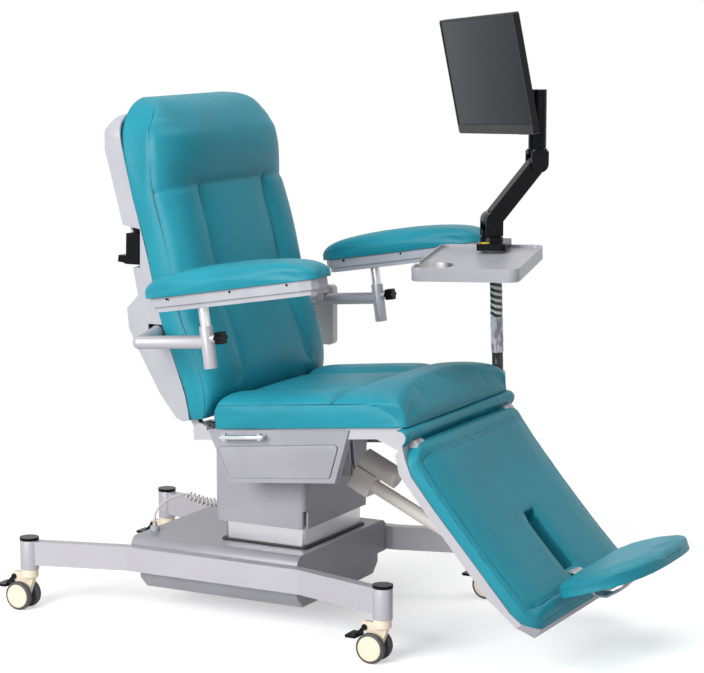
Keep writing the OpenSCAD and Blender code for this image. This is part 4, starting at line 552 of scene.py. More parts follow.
class Pad:
    """One cushion. line is its foot line (x, z) in place; stations give [way, side, crown, panel, width]."""

    def __init__(self, name, body, solid, place, line, half, side, crown, stations, out, seams, step=0.006,
                 top_lines=(), slot=None, sim_cap=0.012, stitches=(), turn_over=0.02):
        self.name, self.body, self.solid, self.place = name, body, solid, place
        self.half, self.side, self.crown = half, side, crown
        self.stations = np.array(stations, float)
        self.out, self.seams, self.step, self.slot = out, seams, step, slot
        self.sim_cap, self.stitches, self.top_lines, self.turn_over = sim_cap, stitches, top_lines, turn_over
        reach = reach_along(line)
        self.length = reach[-1]
        find = pchip if len(line) > 2 else np.interp
        self.foot = lambda s: np.column_stack([find(s, reach / reach[-1], column) for column in zip(*line)])

    def outward(self, ahead):
        """Unit vectors out of the pad's face, square to the way ahead."""
        ahead = ahead / norm(ahead, axis=1)[:, None]
        return self.out * np.column_stack([-ahead[:, 1], ahead[:, 0]])

    def points(self, s, r):
        """Places on the skin: s is the share of the line, r the share across, 1 to 2 going down the side."""
        s, r = np.atleast_1d(s).astype(float), np.atleast_1d(r).astype(float)
        rows = [pchip(s, self.stations[:, 0], self.stations[:, k]) for k in range(1, 5)]
        side, crown, panel, width = self.side * rows[0], self.crown * rows[1], rows[2], rows[3]
        half = self.half * width * (1 - WAIST * np.sin(np.pi * s))
        across = np.minimum(np.abs(r), 1)
        plain, panelled = pchip(across, ACROSS, PLAIN), pchip(across, ACROSS, PANEL)
        down = np.clip(np.abs(r) - 1, 0, 1)
        top = side + crown * (plain * (1 - panel) + panelled * panel)
        height = np.where(down > 0, side * (1 - down), top)
        w = np.sign(r) * half * across * (1 - 0.012 * np.sin(np.pi * down) - 0.008 * down ** 3)
        here, near = self.foot(s), self.turn_over
        face = self.outward(self.foot(np.minimum(s + near, 1)) - self.foot(np.maximum(s - near, 0)))
        return np.column_stack([here[:, 0] + face[:, 0] * height, w, here[:, 1] + face[:, 1] * height])

    def build(self):
        ns = max(12, int(self.length / self.step))
        nt = max(10, int(2 * self.half / self.step))
        s_rows = np.linspace(0, 1, ns + 1)
        t_rows = np.linspace(-1, 1, nt + 1)
        if self.slot:
            x0, x1, slot_half = self.slot
            for edge in (x0 / self.length, x1 / self.length):
                s_rows[np.argmin(abs(s_rows - edge))] = edge
            for edge in (-slot_half / self.half, slot_half / self.half):
                t_rows[np.argmin(abs(t_rows - edge))] = edge
        # The ends are drawn in closer steps, so that they round over
        s_rows = np.unique(np.concatenate([s_rows, END_ROWS]))
        top = np.stack([self.points(np.full(nt + 1, s), t_rows) for s in s_rows])
        edges = np.stack([self.points(np.full(2, s), np.array([-2, 2])) for s in s_rows])
        share = (t_rows[None, :, None] + 1) / 2
        foot = edges[:, :1] * (1 - share) + edges[:, 1:] * share
        down = np.linspace(1, 2, SIDE_ROWS + 2)[1:-1]
        sides = [np.stack([self.points(np.full(SIDE_ROWS, s), sign * down) for s in s_rows])
                 for sign in (-1, 1)]
        vertices, faces, hole = [], [], None

        def grid(block):
            start, (a, b) = sum(len(v) for v in vertices), block.shape[:2]
            vertices.append(block.reshape(-1, 3))
            return start + np.arange(a * b).reshape(a, b)

        if self.slot:
            i0, i1 = (np.argmin(abs(s_rows - x / self.length)) for x in (x0, x1))
            j0, j1 = (np.argmin(abs(t_rows - y / self.half)) for y in (-slot_half, slot_half))
            hole = lambda i, j: i0 <= i < i1 and j0 <= j < j1
        top_index, foot_index = grid(top), grid(foot)
        faces += grid_faces(top_index, hole) + grid_faces(foot_index, hole)
        for side, block in zip((0, -1), sides):
            faces += grid_faces(np.column_stack([top_index[:, side], grid(block), foot_index[:, side]]))
        flat = np.vstack(vertices)
        for end in (0, -1):
            f = np.linspace(0, 1, SIDE_ROWS + 2)[1:-1, None, None]
            inner = top[end] * (1 - f) + foot[end] * f
            inner[:, 0], inner[:, -1] = sides[0][end], sides[1][end]
            faces += grid_faces(np.vstack([top_index[end], grid(inner), foot_index[end]]))
        if hole:
            ring = ([(i, j0) for i in range(i0, i1)] + [(i1, j) for j in range(j0, j1)]
                    + [(i, j1) for i in range(i1, i0, -1)] + [(i0, j) for j in range(j1, j0, -1)])
            ring.append(ring[0])
            a, b = (np.array([index[i, j] for i, j in ring]) for index in (top_index, foot_index))
            inner = np.stack([flat[a] * (1 - f) + flat[b] * f for f in (0.15, 0.4, 0.7)])
            faces += grid_faces(np.vstack([a, grid(inner), b]))
        self.obj = welded(self.name, np.vstack(vertices), faces, 1e-5)
        self.obj.data.shade_smooth()
        rest = self.coordinates()
        if self.slot:
            rest = self.round_slot(rest)
        sewn = [self.sampled(seam) for seam in self.seams]
        self.store("seam", self.distance(rest, sewn + [self.sampled(x) for x in self.top_lines]))
        hold, under = self.distance(rest, sewn), self.height_above_foot(rest)
        self.pinned = (hold < self.step * SEAM_HOLD) | (under < self.step * FOOT_HOLD)
        if self.slot:
            self.pinned |= self.slot_distance(rest) < SLOT_HOLD
        self.store("rest", rest)
        self.write(self.place(rest))
        self.start = self.coordinates()
        self.free = np.clip(np.minimum(hold, under) / FREE_REACH, 0, 1)

    def coordinates(self):
        return vectors(self.obj.data.vertices, "co").astype(float)

    def write(self, co):
        self.obj.data.vertices.foreach_set("co", np.asarray(co, np.float32).ravel())
        self.obj.data.update()

    def store(self, name, values):
        kind, key = ("FLOAT", "value") if np.ndim(values) == 1 else ("FLOAT_VECTOR", "vector")
        attribute = self.obj.data.attributes.new(name, kind, "POINT")
        attribute.data.foreach_set(key, np.asarray(values, np.float32).ravel())

    def read(self, name, width=1):
        out = np.zeros(len(self.obj.data.vertices) * width, np.float32)
        self.obj.data.attributes[name].data.foreach_get("value" if width == 1 else "vector", out)
        return out.reshape(-1, width).squeeze().astype(float)

    def sampled(self, seam, step=0.003):
        """A seam's (s, r) corners as points on the skin, close together."""
        seam = np.array(seam, float)
        corners = self.points(seam[:, 0], seam[:, 1])
        counts = np.maximum(2, (norm(np.diff(corners, axis=0), axis=1) / step).astype(int))
        runs = [np.linspace(seam[k], seam[k + 1], counts[k], endpoint=False) for k in range(len(counts))]
        s, r = np.vstack([*runs, seam[-1:]]).T
        return self.points(s, r)

    @staticmethod
    def distance(points, lines):
        if not lines:
            return np.full(len(points), 1.0)
        tree = search_tree(np.vstack(lines))
        return np.array([tree.find(p)[2] for p in points])

    def height_above_foot(self, points):
        """How far each point stands over the pad's lower face, measured from its foot line."""
        foot = self.foot(np.linspace(0, 1, 400))
        face = self.outward(np.gradient(foot, axis=0))
        flat = points[:, [0, 2]]
        nearest = np.concatenate([np.argmin(((flat[k:k + 4000, None] - foot[None]) ** 2).sum(-1), axis=1)
                                  for k in range(0, len(flat), 4000)])
        return np.abs(((flat - foot[nearest]) * face[nearest]).sum(1))

    def slot_distance(self, p):
        x0, x1, slot_half = self.slot
        dx = np.abs(p[:, 0] - (x0 + x1) / 2) - (x1 - x0) / 2
        dy = np.abs(p[:, 1]) - slot_half
        return np.hypot(np.maximum(dx, 0), np.maximum(dy, 0)) + np.minimum(np.maximum(dx, dy), 0)

    def round_slot(self, p):
        """Rounds the slot's corners and rolls the cover down into it."""
        x0, x1, slot_half = self.slot
        radius, falloff, roll = slot_half * 0.8, 0.02, 0.014
        centre = np.array([(x0 + x1) / 2, 0])
        far = np.abs(p[:, :2] - centre) - (np.array([(x1 - x0) / 2, slot_half]) - radius)
        corner = (far > 0).all(axis=1)
        m, hyp = far.max(axis=1), np.hypot(far[:, 0], far[:, 1])
        weight = np.clip(1 - (m - radius) / falloff, 0, 1) * corner
        scale = 1 + weight * (m / np.maximum(hyp, 1e-9) - 1)
        moved = p.copy()
        moved[:, :2] += np.sign(p[:, :2] - centre) * (far * (scale - 1)[:, None]) * corner[:, None]
        edge = np.clip(1 - self.slot_distance(p) / roll, 0, 1)
        up = self.height_above_foot(p)
        moved[:, 2] -= 0.007 * edge ** 2.2 * np.clip(up / self.side - 0.5, 0, 1)
        return moved

    def start_simulation(self):
        group = self.obj.vertex_groups.new(name="sewn")
        group.add([int(i) for i in np.nonzero(self.pinned)[0]], 1.0, "ADD")
        cloth = self.obj.modifiers.new("cloth", "CLOTH")
        how = cloth.settings
        how.quality, how.mass, how.shear_stiffness, how.bending_stiffness = 4, 0.3, 6, 1.5
        how.tension_stiffness = how.compression_stiffness = 12
        how.use_pressure, how.uniform_pressure_force = True, PRESSURE
        how.effector_weights.gravity = 0
        how.vertex_group_mass = "sewn"
        cloth.point_cache.frame_start, cloth.point_cache.frame_end = 1, SIM_FRAMES

    def end_simulation(self):
        dg = bpy.context.evaluated_depsgraph_get()
        move = vectors(self.obj.evaluated_get(dg).data.vertices, "co") - self.start
        size = norm(move, axis=1)
        cap = self.sim_cap * (0.25 + 0.75 * self.free)
        move *= np.minimum(1, cap / np.maximum(size, 1e-9))[:, None]
        move[self.pinned] = 0
        self.obj.modifiers.clear()
        self.obj.vertex_groups.clear()
        self.write(self.start + move)

    def refine(self):
        """One subdivision, then the grooves of the seams and the faint creases that they pull."""
        self.obj.modifiers.new("smooth", "SUBSURF").levels = 1
        bpy.context.view_layer.update()
        dg = bpy.context.evaluated_depsgraph_get()
        mesh = bpy.data.meshes.new_from_object(self.obj.evaluated_get(dg))
        self.obj.modifiers.clear()
        self.obj.data = mesh
        mesh.shade_smooth()
        self.rest, seam = self.read("rest", 3), self.read("seam")
        co, normals = self.coordinates(), vectors(mesh.vertex_normals, "vector")
        groove = sum(depth * np.exp(-(seam / width) ** 2) for depth, width in GROOVES)
        crease = np.zeros(len(co))
        for i in np.nonzero(seam < 0.05)[0]:
            crease[i] = math.exp(-seam[i] / CREASE_REACH) * sum(
                noise.noise(self.rest[i] * cells) * height for cells, height in CREASES)
        self.write(co + normals * (crease - groove)[:, None])
        dress(self.obj, "upholstery")

    def sew(self):
        """Stitches beside the seams: short threads laid on the finished skin."""
        tree = search_tree(self.rest)
        co, normals = self.coordinates(), vectors(self.obj.data.vertex_normals, "vector")
        parts = []
        for seam in self.stitches:
            placed = []
            for p in self.sampled(seam, 0.004):
                near = tree.find_n(p, 3)
                weight = np.array([1 / (d + 1e-5) for _, _, d in near])
                index = [i for _, i, _ in near]
                weight /= weight.sum()
                placed.append((weight @ co[index], weight @ normals[index]))
            for k in range(0, len(placed) - 1, 2):
                (a, na), (b, nb) = placed[k], placed[k + 1]
                line = [a + na * THREAD_END, a * 0.7 + b * 0.3 + na * THREAD_LIFT,
                        a * 0.3 + b * 0.7 + nb * THREAD_LIFT, b + nb * THREAD_END]
                parts.append(tube(line, THREAD_RADII, 5))
        if parts:
            piece(self.name + "_stitches", joined(parts), "thread", self.body)


# Stations along the line: [way, side, crown, panel, width], all as shares
SEAT_STATIONS = [
    [0, 0.48, 0.05, 1, 0.96], [0.015, 0.84, 0.5, 1, 0.985], [0.05, 1, 0.9, 1, 1], [0.14, 1, 1, 1, 1],
    [0.46, 1, 1, 1, 1], [0.57, 1, 0.98, 0.95, 1], [0.61, 1, 0.9, 0.6, 1], [0.635, 1, 0.66, 0.3, 1],
    [0.66, 1, 0.92, 0.1, 1], [0.72, 1, 1.05, 0, 1], [0.8, 1, 1.1, 0, 1], [0.88, 1, 1.04, 0, 1],
    [0.935, 0.98, 0.86, 0, 1], [0.97, 0.9, 0.6, 0, 0.995], [0.99, 0.74, 0.3, 0, 0.985],
    [1, 0.52, 0.05, 0, 0.97]]
BACK_STATIONS = [
    [0, 0.6, 0.05, 0, 0.975], [0.012, 0.74, 0.14, 0, 0.99], [0.035, 0.86, 0.32, 0.1, 1],
    [0.08, 0.95, 0.62, 0.3, 1.01], [0.16, 1, 0.95, 0.45, 1.015], [0.26, 1, 1.05, 0.45, 1.015],
    [0.38, 1, 1.02, 0.45, 1.015], [0.5, 1, 1, 0.45, 1.015], [0.6, 1.02, 0.98, 0.45, 1.015],
    [0.67, 1.04, 0.95, 0.35, 1.015], [0.695, 1.05, 0.9, 0.2, 1.015], [0.72, 1.08, 0.97, 0, 1.015],
    [0.79, 1.21, 1.07, 0, 1.012], [0.84, 1.32, 0.98, 0, 1], [0.88, 1.39, 0.84, 0, 0.978],
    [0.92, 1.4, 0.65, 0, 0.938], [0.95, 1.34, 0.48, 0, 0.885], [0.975, 1.22, 0.31, 0, 0.815],
    [0.99, 1.06, 0.17, 0, 0.735], [1, 0.84, 0.05, 0, 0.64]]
LEG_STATIONS = [
    [0, 0.7, 0.05, 0, 0.81], [0.01, 0.84, 0.28, 0, 0.885], [0.023, 0.93, 0.48, 0, 0.925],
    [0.057, 1, 0.8, 0, 0.973], [0.094, 1, 0.92, 0, 0.995], [0.17, 1, 1, 0, 1], [0.86, 1, 1, 0, 1],
    [0.92, 1, 0.97, 0, 0.99], [0.955, 0.98, 0.86, 0, 0.968], [0.98, 0.9, 0.58, 0, 0.93],
    [0.993, 0.8, 0.3, 0, 0.89], [1, 0.66, 0.05, 0, 0.84]]
ARM_STATIONS = [
    [0, 0.26, 0.05, 0, 0.3], [0.012, 0.42, 0.28, 0, 0.5], [0.035, 0.6, 0.5, 0, 0.68],
    [0.08, 0.79, 0.74, 0, 0.83], [0.15, 0.93, 0.92, 0, 0.93], [0.28, 1, 1, 0, 0.98], [0.5, 1, 1, 0, 1],
    [0.66, 1, 1, 0, 1], [0.78, 0.94, 0.94, 0, 0.98], [0.87, 0.82, 0.84, 0, 0.93],
    [0.93, 0.68, 0.66, 0, 0.85], [0.97, 0.52, 0.44, 0, 0.72], [0.99, 0.4, 0.26, 0, 0.56],
    [1, 0.28, 0.05, 0, 0.36]]
FOOT_STATIONS = [
    [0, 0.6, 0.05, 0, 0.72], [0.03, 0.82, 0.42, 0, 0.85], [0.1, 0.95, 0.76, 0, 0.94],
    [0.22, 1, 0.95, 0, 0.985], [0.36, 1, 1, 0, 1], [0.5, 1, 1, 0, 1], [0.62, 1, 1, 0, 0.975],
    [0.74, 1, 0.96, 0, 0.91], [0.84, 0.98, 0.86, 0, 0.8], [0.92, 0.92, 0.68, 0, 0.65],
    [0.97, 0.82, 0.42, 0, 0.47], [1, 0.62, 0.05, 0, 0.2]]
BACK_HEIGHT = 0.800
BACK_SHARES = [
    [-0.028, 0.035], [-0.037, 0.099], [-0.084, 0.23], [-0.129, 0.3425], [-0.1775, 0.5575],
    [-0.2225, 0.71], [-0.26, 0.864], [-0.274, 0.924], [-0.2725, 1.02]]
BACK_LINE = [(-0.275 + BACK_HEIGHT * a, 0.505 + BACK_HEIGHT * b) for a, b in BACK_SHARES]
LEG_LENGTH = 0.530
LEG_SHARES = [[-0.022, 0.002], [0.0787, -0.0472], [0.196, -0.0519], [0.892, -0.0236], [0.984, 0.024]]
LEG_LINE = [(LEG_LENGTH * a, LEG_LENGTH * b) for a, b in LEG_SHARES]
FOOT_LINE = [(-0.114, -0.013), (0.114, -0.013)]
ARM_LINE = [(-0.2425, 0), (0.2425, 0)]


def both_sides(line):
    return [line, [(s, -r) for s, r in line]]


SEAT_EDGE = [(0.01, 1), (0.80, 1), (0.88, 1.15), (0.94, 1.45), (0.985, 1.95)]
SEAT_PANEL = [(0.02, 0.52), (0.57, 0.52), (0.625, 0.50)]
BACK_EDGE = [(0.0, 1), (0.90, 1), (0.97, 1)]
BACK_PANEL = [(0.10, 0.60), (0.20, 0.54), (0.32, 0.52), (0.695, 0.52)]
RIM = [[(0, -1), (1, -1), (1, 1), (0, 1), (0, -1)]]
LEG_TOP = [
    (0.1, -0.94), (0.88, -0.94), (0.925, -0.91), (0.945, -0.84), (0.948, 0), (0.945, 0.84), (0.925, 0.91),
    (0.88, 0.94), (0.1, 0.94), (0.065, 0.9), (0.05, 0.8), (0.045, 0), (0.05, -0.8), (0.065, -0.9),
    (0.1, -0.94)]
pads = [
    Pad("seat_leather", "seat", "seat_cushion", SEAT, [(0.008, 0), (0.540, 0)], 0.300, 0.060, 0.024,
        SEAT_STATIONS, 1, both_sides(SEAT_EDGE) + both_sides(SEAT_PANEL) + [[(0.635, -1), (0.635, 1)]],
        sim_cap=0.008, stitches=both_sides([(s, r + 0.05 * (r <= 1)) for s, r in SEAT_EDGE[:2]])),
    Pad("back_leather", "back", "back_cushion", CHAIR, BACK_LINE, 0.300, 0.058, 0.062, BACK_STATIONS, -1,
        both_sides(BACK_EDGE) + both_sides(BACK_PANEL) + [[(0.695, -1), (0.695, 1)]],
        stitches=both_sides([(0.74, 0.975), (0.95, 0.97)]), turn_over=0.05),
    Pad("leg_leather", "leg", "leg_pad", LEG, LEG_LINE, 0.315, 0.031, 0.018, LEG_STATIONS, 1, RIM,
        slot=(0.2756, 0.4489, 0.030), sim_cap=0.003, top_lines=[LEG_TOP]),
    Pad("foot_leather", "foot", "foot_pad", FOOT, FOOT_LINE, 0.235, 0.026, 0.0156, FOOT_STATIONS, 1, RIM,
        step=0.005, sim_cap=0.002),
] + [Pad(f"arm_leather_{name}", f"arm_{name}", f"arm_pad_{name}", place, ARM_LINE, 0.062, 0.034, 0.020,
         ARM_STATIONS, 1, [], step=0.005, sim_cap=0.005) for name, place in ARMS.items()]


def make_pads():
    for pad in pads:
        pad.build()
    scene.frame_start, scene.frame_end = 1, SIM_FRAMES
    for pad in pads:
        pad.start_simulation()
    for f in range(1, SIM_FRAMES + 1):
        scene.frame_set(f)
    for pad in pads:
        pad.end_simulation()
    scene.frame_set(1)
    for pad in pads:
        pad.refine()
        pad.sew()
        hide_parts(pad.solid)
        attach(pad.obj, pad.body)


make_pads()


# Leather flap over the gap at the leg rest's hinge: it starts at the seat's front and ends behind the leg pad
FLAP_HALF = 0.314
FLAP_THICK = 0.0024
FLAP_COLUMNS = 150
FLAP_LINE = [
    (0.286, 0.5618), (0.298, 0.563), (0.308, 0.559), (0.312, 0.551), (0.31, 0.5425), (0.304, 0.534),
    (0.298, 0.524)]


def make_flap():
    line = smooth_path([(l, 0, z) for l, z in FLAP_LINE], 0.003)
    share = np.linspace(0, 1, len(line))
    rows = []
    for k in range(FLAP_COLUMNS + 1):
        t = 2 * k / FLAP_COLUMNS - 1
        lobe = max(0, (abs(t) - 0.94) / 0.06)
        wave = 0.0022 * noise.noise((t * 2.6, 0.5, 2.0)) + 0.0010 * noise.noise((t * 8, 1.5, 3.0))
        here = line.copy()
        here[:, 0] += share * (wave * 2.5 - 0.006 * lobe ** 2)
        here[:, 2] += np.sin(share * math.pi) * wave - share * 0.010 * lobe
        here[:, 1] = t * FLAP_HALF
        rows.append(CHAIR(here))
    rows = np.array(rows)
    a, b = rows.shape[:2]
    index = np.arange(a * b).reshape(a, b)
    flap = new_object("leg_flap_leather", rows.reshape(-1, 3), grid_faces(index), "upholstery")
    flap.data.attributes.new("seam", "FLOAT", "POINT").data.foreach_set(
        "value", np.full(len(flap.data.vertices), 1.0, np.float32))
    thick = flap.modifiers.new("thickness", "SOLIDIFY")
    thick.thickness, thick.offset = FLAP_THICK, 0
    length = float(reach_along(line)[-1])
    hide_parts("leg_flap")
    tuple(CHAIR(line[0])[0])
    tuple(CHAIR(line[-1])[0])
    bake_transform(flap)


make_flap()


# Castors: tyres and hubs in two materials, since the CAD wheel is one solid
BASE_L, BASE_HALF, TRACK_HALF = -0.255, 0.512, 0.330
WHEEL_R, TREAD_W, TREAD_GAP, AXLE_Z, TRAIL = 0.0375, 0.017, 0.024, 0.0375, 0.022


# Profiles as shares: along of half the tread, out of the wheel's radius
TYRE_HALF = [(0.4, 0.995), (0.75, 0.965), (1, 0.9), (1, 0.8)]
TYRE = [(-a, r) for a, r in TYRE_HALF[::-1]] + [(0, 1)] + TYRE_HALF
HUB = [(-0.9, 0.81), (1, 0.81), (1.14, 0.77), (1.18, 0.6), (1.22, 0.3), (1.23, 0)]


def make_castors():
    spots = [(1, -1), (1, 1), (-1, -1), (-1, 1)]
    for i, (x, y) in enumerate(spots, 1):
        l, w = BASE_L + x * BASE_HALF - TRAIL, y * TRACK_HALF
        tyres, hubs = [], []
        for side in (-1, 1):
            centre = row(l, w + side * (TREAD_GAP + TREAD_W) / 2, AXLE_Z)
            for parts, shares, steps in ((tyres, TYRE, 64), (hubs, HUB, 48)):
                profile = [(TREAD_W / 2 * a, WHEEL_R * r) for a, r in shares]
                parts.append(lathe(profile, centre, (side, 0, 0), steps))
        axle = lathe([(-TREAD_GAP / 2, 0.005), (TREAD_GAP / 2, 0.005)], row(l, w, AXLE_Z), (1, 0, 0), 24)
        tyre = piece(f"castor_tyres_{i}", joined(tyres), "castor_tyre", f"wheels_{i}")
        piece(f"castor_hubs_{i}", joined(hubs), "castor_plastic", f"wheels_{i}")
        piece(f"castor_axle_{i}", axle, "satin_steel", f"wheels_{i}")
        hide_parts(f"castor_wheels_{i}")


make_castors()


# Side covers: the raised panel, and a thin near-black sheet round it as painted shade in its groove
PANEL_CORNERS = [(-0.224, 0.472), (0.116, 0.508), (0.091, 0.423), (-0.186, 0.397)]
COVER_FACE, SUNK = 0.288, 0.0002
GROOVE_SHADE_SCALE = 1.012


def rounded_corners(corners, radius, steps=6):
    """The outline of a polygon with its corners rounded."""
    out, n = [], len(corners)
    for i in range(n):
        a, b, c = (np.array(corners[k % n], float) for k in (i - 1, i, i + 1))
        u, v = (a - b) / norm(a - b), (c - b) / norm(c - b)
        half = math.acos(float(np.clip(u @ v, -1, 1))) / 2
        reach = radius / math.tan(half)
        start, end = b + u * reach, b + v * reach
        centre = b + (u + v) / norm(u + v) * radius / math.sin(half)
        for k in range(steps + 1):
            p = start * (1 - k / steps) + end * k / steps
            out.append(tuple(centre + (p - centre) / norm(p - centre) * radius))
    return out


def make_side_panels():
    corners = np.array(PANEL_CORNERS)
    middle = sum(corners) / len(corners)
    wide = middle + (corners - middle) * GROOVE_SHADE_SCALE
    for name, side in (("near", -1), ("far", 1)):
        def stand(points):
            p = np.asarray(points, float)
            return CHAIR(np.column_stack([p[:, 0], side * (COVER_FACE - SUNK + p[:, 2]), p[:, 1]]))

        plate = raised_plate(rounded_corners(PANEL_CORNERS, 0.009), 0.0030, 0.0016, stand)
        # painted shade: a thin near-black sheet a little wider than the panel stands for the shadow in the
        # groove round it
        shadow = raised_plate(rounded_corners(wide, 0.010), 0.0006, 0.0002, stand)
        piece(f"cover_panel_{name}", plate, "cover_plastic", "seat")
        piece(f"cover_groove_shade_{name}", shadow, "recess", "seat")


make_side_panels()


# Monitor: display, buttons and vents
MONITOR_W, MONITOR_H, MONITOR_D = 0.505, 0.302, 0.017
INSET, CHIN, DEPTH = 0.005, 0.024, 0.002
VENT_PITCH, VENT_BACK, BUTTON_PITCH = 0.0065, 0.0262, 0.016


def make_monitor():
    w, h = MONITOR_W - 2 * INSET, MONITOR_H - CHIN - INSET
    up = CHIN / 2 - INSET / 2

    def stand(points):
        p = np.asarray(points, float)
        return SCREEN(np.column_stack([p[:, 0], DEPTH - p[:, 2], p[:, 1] + up]))

    glass = raised_plate(rounded_outline(w - 0.001, h - 0.001, 0.004), 0.0008, 0.0004, stand)
    piece("display_panel", glass, "screen", "screen")
    vents = []
    for k in range(14):
        z = -0.045 + VENT_PITCH * k
        path = [(x, MONITOR_D + VENT_BACK, z) for x in np.linspace(-0.09, 0.09, 12)]
        vents.append(tube(SCREEN(path), 0.0012, 6))
    piece("monitor_vents", joined(vents), "gasket", "screen")
    buttons = [lathe([(-0.0005, 0.0028), (0.0012, 0.0028), (0.0018, 0.0020), (0.0018, 0)],
                     SCREEN.at(0.150 + BUTTON_PITCH * k, 0.006, -MONITOR_H / 2), SCREEN.way(0, 0, -1), 16)
               for k in range(4)]
    piece("monitor_buttons", joined(buttons), "black_plastic", "screen")


make_monitor()


# Pole wraps and the cable below them
SLEEVE_ROWS, SLEEVE_STEPS = 36, 40


def make_pole_wraps():
    def up_pole(z, radius, seed):
        out = []
        for k in range(SLEEVE_STEPS):
            x, y = math.cos(2 * math.pi * k / SLEEVE_STEPS), math.sin(2 * math.pi * k / SLEEVE_STEPS)
            r = radius + 0.0009 * noise.noise((x * 2.2, y * 2.2 + seed, z * 60))
            out.append((r * x, r * y, z))
        return out

    def sleeve(z0, z1, radius, seed):
        points = [up_pole(z, radius * (1 if 0 < i < SLEEVE_ROWS - 1 else 0.93), seed)
                  for i, z in enumerate(np.linspace(z0, z1, SLEEVE_ROWS))]
        return POLE(points), ring_faces(SLEEVE_ROWS, SLEEVE_STEPS, (0, SLEEVE_ROWS - 1))

    tape = piece("pole_tape", sleeve(-0.182, -0.061, 0.0160, 1.0), "tape", "seat")
    piece("pole_film", sleeve(-0.276, -0.181, 0.0163, 5.0), "film", "seat")
    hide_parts("pole_wrap")
    ring = lathe([(-0.352, 0.0128), (-0.352, 0.0145), (-0.277, 0.0145), (-0.277, 0.0128)],
                 POLE.at(0, 0, 0), POLE.way(0, 0, 1), 32)
    piece("pole_cable_wrap", ring, "black_cord", "seat")


make_pole_wraps()


# Small fittings: base seal, clamp disc, the tray's cup dish, painted shade on the box's walls, armrest
# screws, handset keys
TRAY_CUP, TRAY_BOX = (-0.1077, -0.2263), (0.0277, -0.2920)
DISH = [(-0.0338, 0), (-0.0338, 0.047), (-0.009, 0.0479), (-0.0081, 0.0474), (-0.0095, 0.046),
        (-0.029, 0.0435), (-0.0318, 0.039), (-0.032, 0)]
# Half length, half width and height of the rings of the painted shade on the box's walls
BOX_SHADE_RINGS = [(0.0228, 0.0148, -0.0195), (0.0228, 0.0148, -0.0083), (0.0216, 0.0136, -0.0083),
         (0.0212, 0.0132, -0.0185)]
SCREW_W, SCREW_Z, SCREW_SPOTS = 0.0505, -0.006, (-0.165, 0.010, 0.165)
KEYS_AT = np.array((-0.334, 0.4885 - 0.0002, 0.6995))
KEY_X, KEY_Z, KEY_PITCH = 0.013, 0.045, 0.030


def make_fittings():
    seal = raised_plate(rounded_outline(0.248, 0.325, 0.012), 0.005, 0.002,
                        lambda p: CHAIR(np.asarray(p) + (-0.1685, 0, 0.2032)))
    piece("column_seal", seal, "gasket", "base")
    disc = lathe([(0, 0.012), (0.0010, 0.012), (0.0014, 0.0112), (0.0014, 0)],
                 POLE.at(-0.016, -0.046, 0.018), POLE.way(0, 0, 1), 40)
    piece("clamp_disc", disc, "yellow", "tray")
    piece("cup_dish", lathe(DISH, POLE.at(*TRAY_CUP, 0), POLE.way(0, 0, 1), 64), "dish_steel", "tray")
    # painted shade: near-black walls set just inside the tray's box so that its recess looks shaded
    rings = [(sx * x + TRAY_BOX[0], sy * y + TRAY_BOX[1], z) for x, y, z in BOX_SHADE_RINGS
             for sx, sy in ((-1, -1), (1, -1), (1, 1), (-1, 1))]
    piece("box_wall_shade", (POLE(rings), ring_faces(len(BOX_SHADE_RINGS), 4, (0, len(BOX_SHADE_RINGS) - 1))), "recess", "tray",
          smooth=False)
    for name, place in ARMS.items():
        heads = [screw_head(place.at(x, s * SCREW_W, SCREW_Z), (s, 0, 0), 0.0030)
                 for s in (-1, 1) for x in SCREW_SPOTS]
        piece(f"arm_screws_{name}", joined(heads), "black_plastic", f"arm_{name}")
    keys = []
    for k in range(6):
        x, z = (-KEY_X, KEY_X)[k % 2], KEY_Z - KEY_PITCH * (k // 2)
        keys.append(raised_plate(rounded_outline(0.016, 0.016, 0.005), 0.0018, 0.0008, lambda p, x=x, z=z:
                                 CHAIR(np.asarray(p)[:, [0, 2, 1]] + KEYS_AT + (x, 0, z))))
    piece("handset_keys", joined(keys), "dark_plastic", "arms")


make_fittings()


# CAD nodes carried over, with their materials and rounded edges
CAD_LOOKS = {
    "frame_paint": ["base_frame", "lift_yoke", "seat_frame", "back_frame", "arm_carrier", "leg_frame",
                    "foot_bracket", "level_link"],
    "shell_plastic": ["back_shell", "arm_tray_near", "arm_tray_far", "tray_table", "cord_socket"],
    "cover_plastic": ["base_cover", "base_tray", "side_covers", "outer_column"],
    "satin_steel": ["inner_column", "arm_post_near", "arm_post_far", "tray_pole", "leg_rod", "tilt_rod"],
    "bright_steel": ["side_handles"],
    "black_plastic": ["tube_caps", "cpr_lever", "clamp_knob_near", "clamp_knob_far", "arm_clamp",
                      "arm_shoulder", "arm_link", "arm_head", "vesa_bracket", "back_drive"],
    "dark_plastic": ["monitor", "lift_motor"] + [f"castor_brake_{i}" for i in (1, 2, 3, 4)],
    "castor_plastic": [f"castor_fork_{i}" for i in (1, 2, 3, 4)],
    "motor_plastic": ["leg_actuator", "tilt_actuator"],
    "handset": ["handset"],
}
EDGE = {"base_cover": 0.004, "base_tray": 0.006, "outer_column": 0.005, "side_covers": 0.003,
        "arm_tray_near": 0.004, "arm_tray_far": 0.004, "tray_table": 0.003, "back_shell": 0.004,
        "monitor": 0.002, "handset": 0.004, "base_frame": 0.003}
DEFAULT_EDGE = 0.0012


def dress_frame():
    for material, names in CAD_LOOKS.items():
        for name in names:
            obj = nodes[name]
            dress(obj, material)
            weld = obj.modifiers.new("weld", "WELD")
            weld.merge_threshold = 0.00002
            bevel = obj.modifiers.new("edges", "BEVEL")
            bevel.width = EDGE.get(name, DEFAULT_EDGE)
            bevel.segments, bevel.limit_method, bevel.angle_limit = 3, "ANGLE", math.radians(35)
            bevel.harden_normals = False
            bevel.use_clamp_overlap = True


dress_frame()


# Floor, backdrop and light
FLOOR_REACH = 6


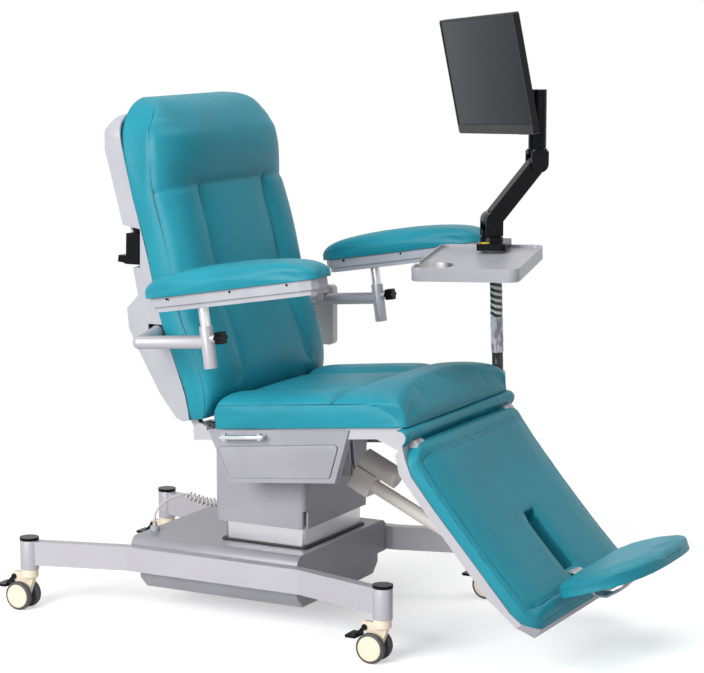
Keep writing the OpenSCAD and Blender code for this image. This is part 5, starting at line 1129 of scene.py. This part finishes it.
def make_stage():
    m, tree = new_material("pale_floor")
    where = node(tree, "NewGeometry").outputs["Position"]
    flat = node(tree, "VectorMath", {0: where, 1: (1, 1, 0)}, operation="MULTIPLY")
    away = node(tree, "VectorMath", {0: flat.outputs[0]}, operation="LENGTH").outputs["Value"]
    far = ramp_value(tree, away, 0.8, 1.6, 0, 1)
    speck = object_noise(tree, 30, 3)
    floor_colour = two_colours(tree, speck, (0.93, 0.93, 0.93), (0.96, 0.96, 0.96))
    seen = node(tree, "LightPath").outputs["Is Camera Ray"]
    glow = node(tree, "Emission", {"Color": (1, 1, 1, 1), "Strength": ramp_value(tree, seen, 0, 1, 0, 0.44)})
    lit = node(tree, "BsdfDiffuse", {"Color": floor_colour})
    diffuse = node(tree, "AddShader", {0: lit.outputs[0], 1: glow.outputs[0]})
    clear = node(tree, "BsdfTransparent")
    mix = node(tree, "MixShader", {0: far, 1: diffuse.outputs[0], 2: clear.outputs[0]})
    out = node(tree, "OutputMaterial")
    tree.links.new(mix.outputs[0], out.inputs[0])
    mesh = bpy.data.meshes.new("floor")
    r = FLOOR_REACH
    mesh.from_pydata([(-r, -r, 0), (r, -r, 0), (r, r, 0), (-r, r, 0)], [], [(0, 1, 2, 3)])
    floor = bpy.data.objects.new("floor", mesh)
    scene.collection.objects.link(floor)
    mesh.materials.append(m)

    world = bpy.data.worlds.new("studio")
    scene.world = world
    tree = cleared(world)
    path = node(tree, "LightPath")
    seen = calc(tree, "MAXIMUM", path.outputs["Is Camera Ray"], path.outputs["Is Transmission Ray"])
    seen = calc(tree, "MAXIMUM", seen, path.outputs["Is Glossy Ray"])
    soft = node(tree, "Background", {"Color": (1, 1, 1, 1), "Strength": 0.25})
    white = node(tree, "Background", {"Color": (1, 1, 1, 1), "Strength": 1.0})
    mix = node(tree, "MixShader", {0: seen, 1: soft.outputs[0], 2: white.outputs[0]})
    out = node(tree, "OutputWorld")
    tree.links.new(mix.outputs[0], out.inputs[0])

    def lamp(name, at, aim, size, power):
        light = bpy.data.lights.new(name, "AREA")
        light.shape, light.size, light.energy = "SQUARE", size, power
        obj = bpy.data.objects.new(name, light)
        scene.collection.objects.link(obj)
        obj.location = at
        obj.rotation_euler = (Vector(aim) - Vector(at)).to_track_quat("-Z", "Y").to_euler()

    lamp("key_left", (-4.6, 0.9, 2.3), (0, 0, 0.7), 2.6, 235)
    lamp("top_soft", (0.2, -0.6, 4.2), (0, 0, 0.5), 3.2, 68)
    lamp("front_fill", (-1.8, -4.6, 2.0), (0, 0, 0.7), 2.8, 18)


make_stage()
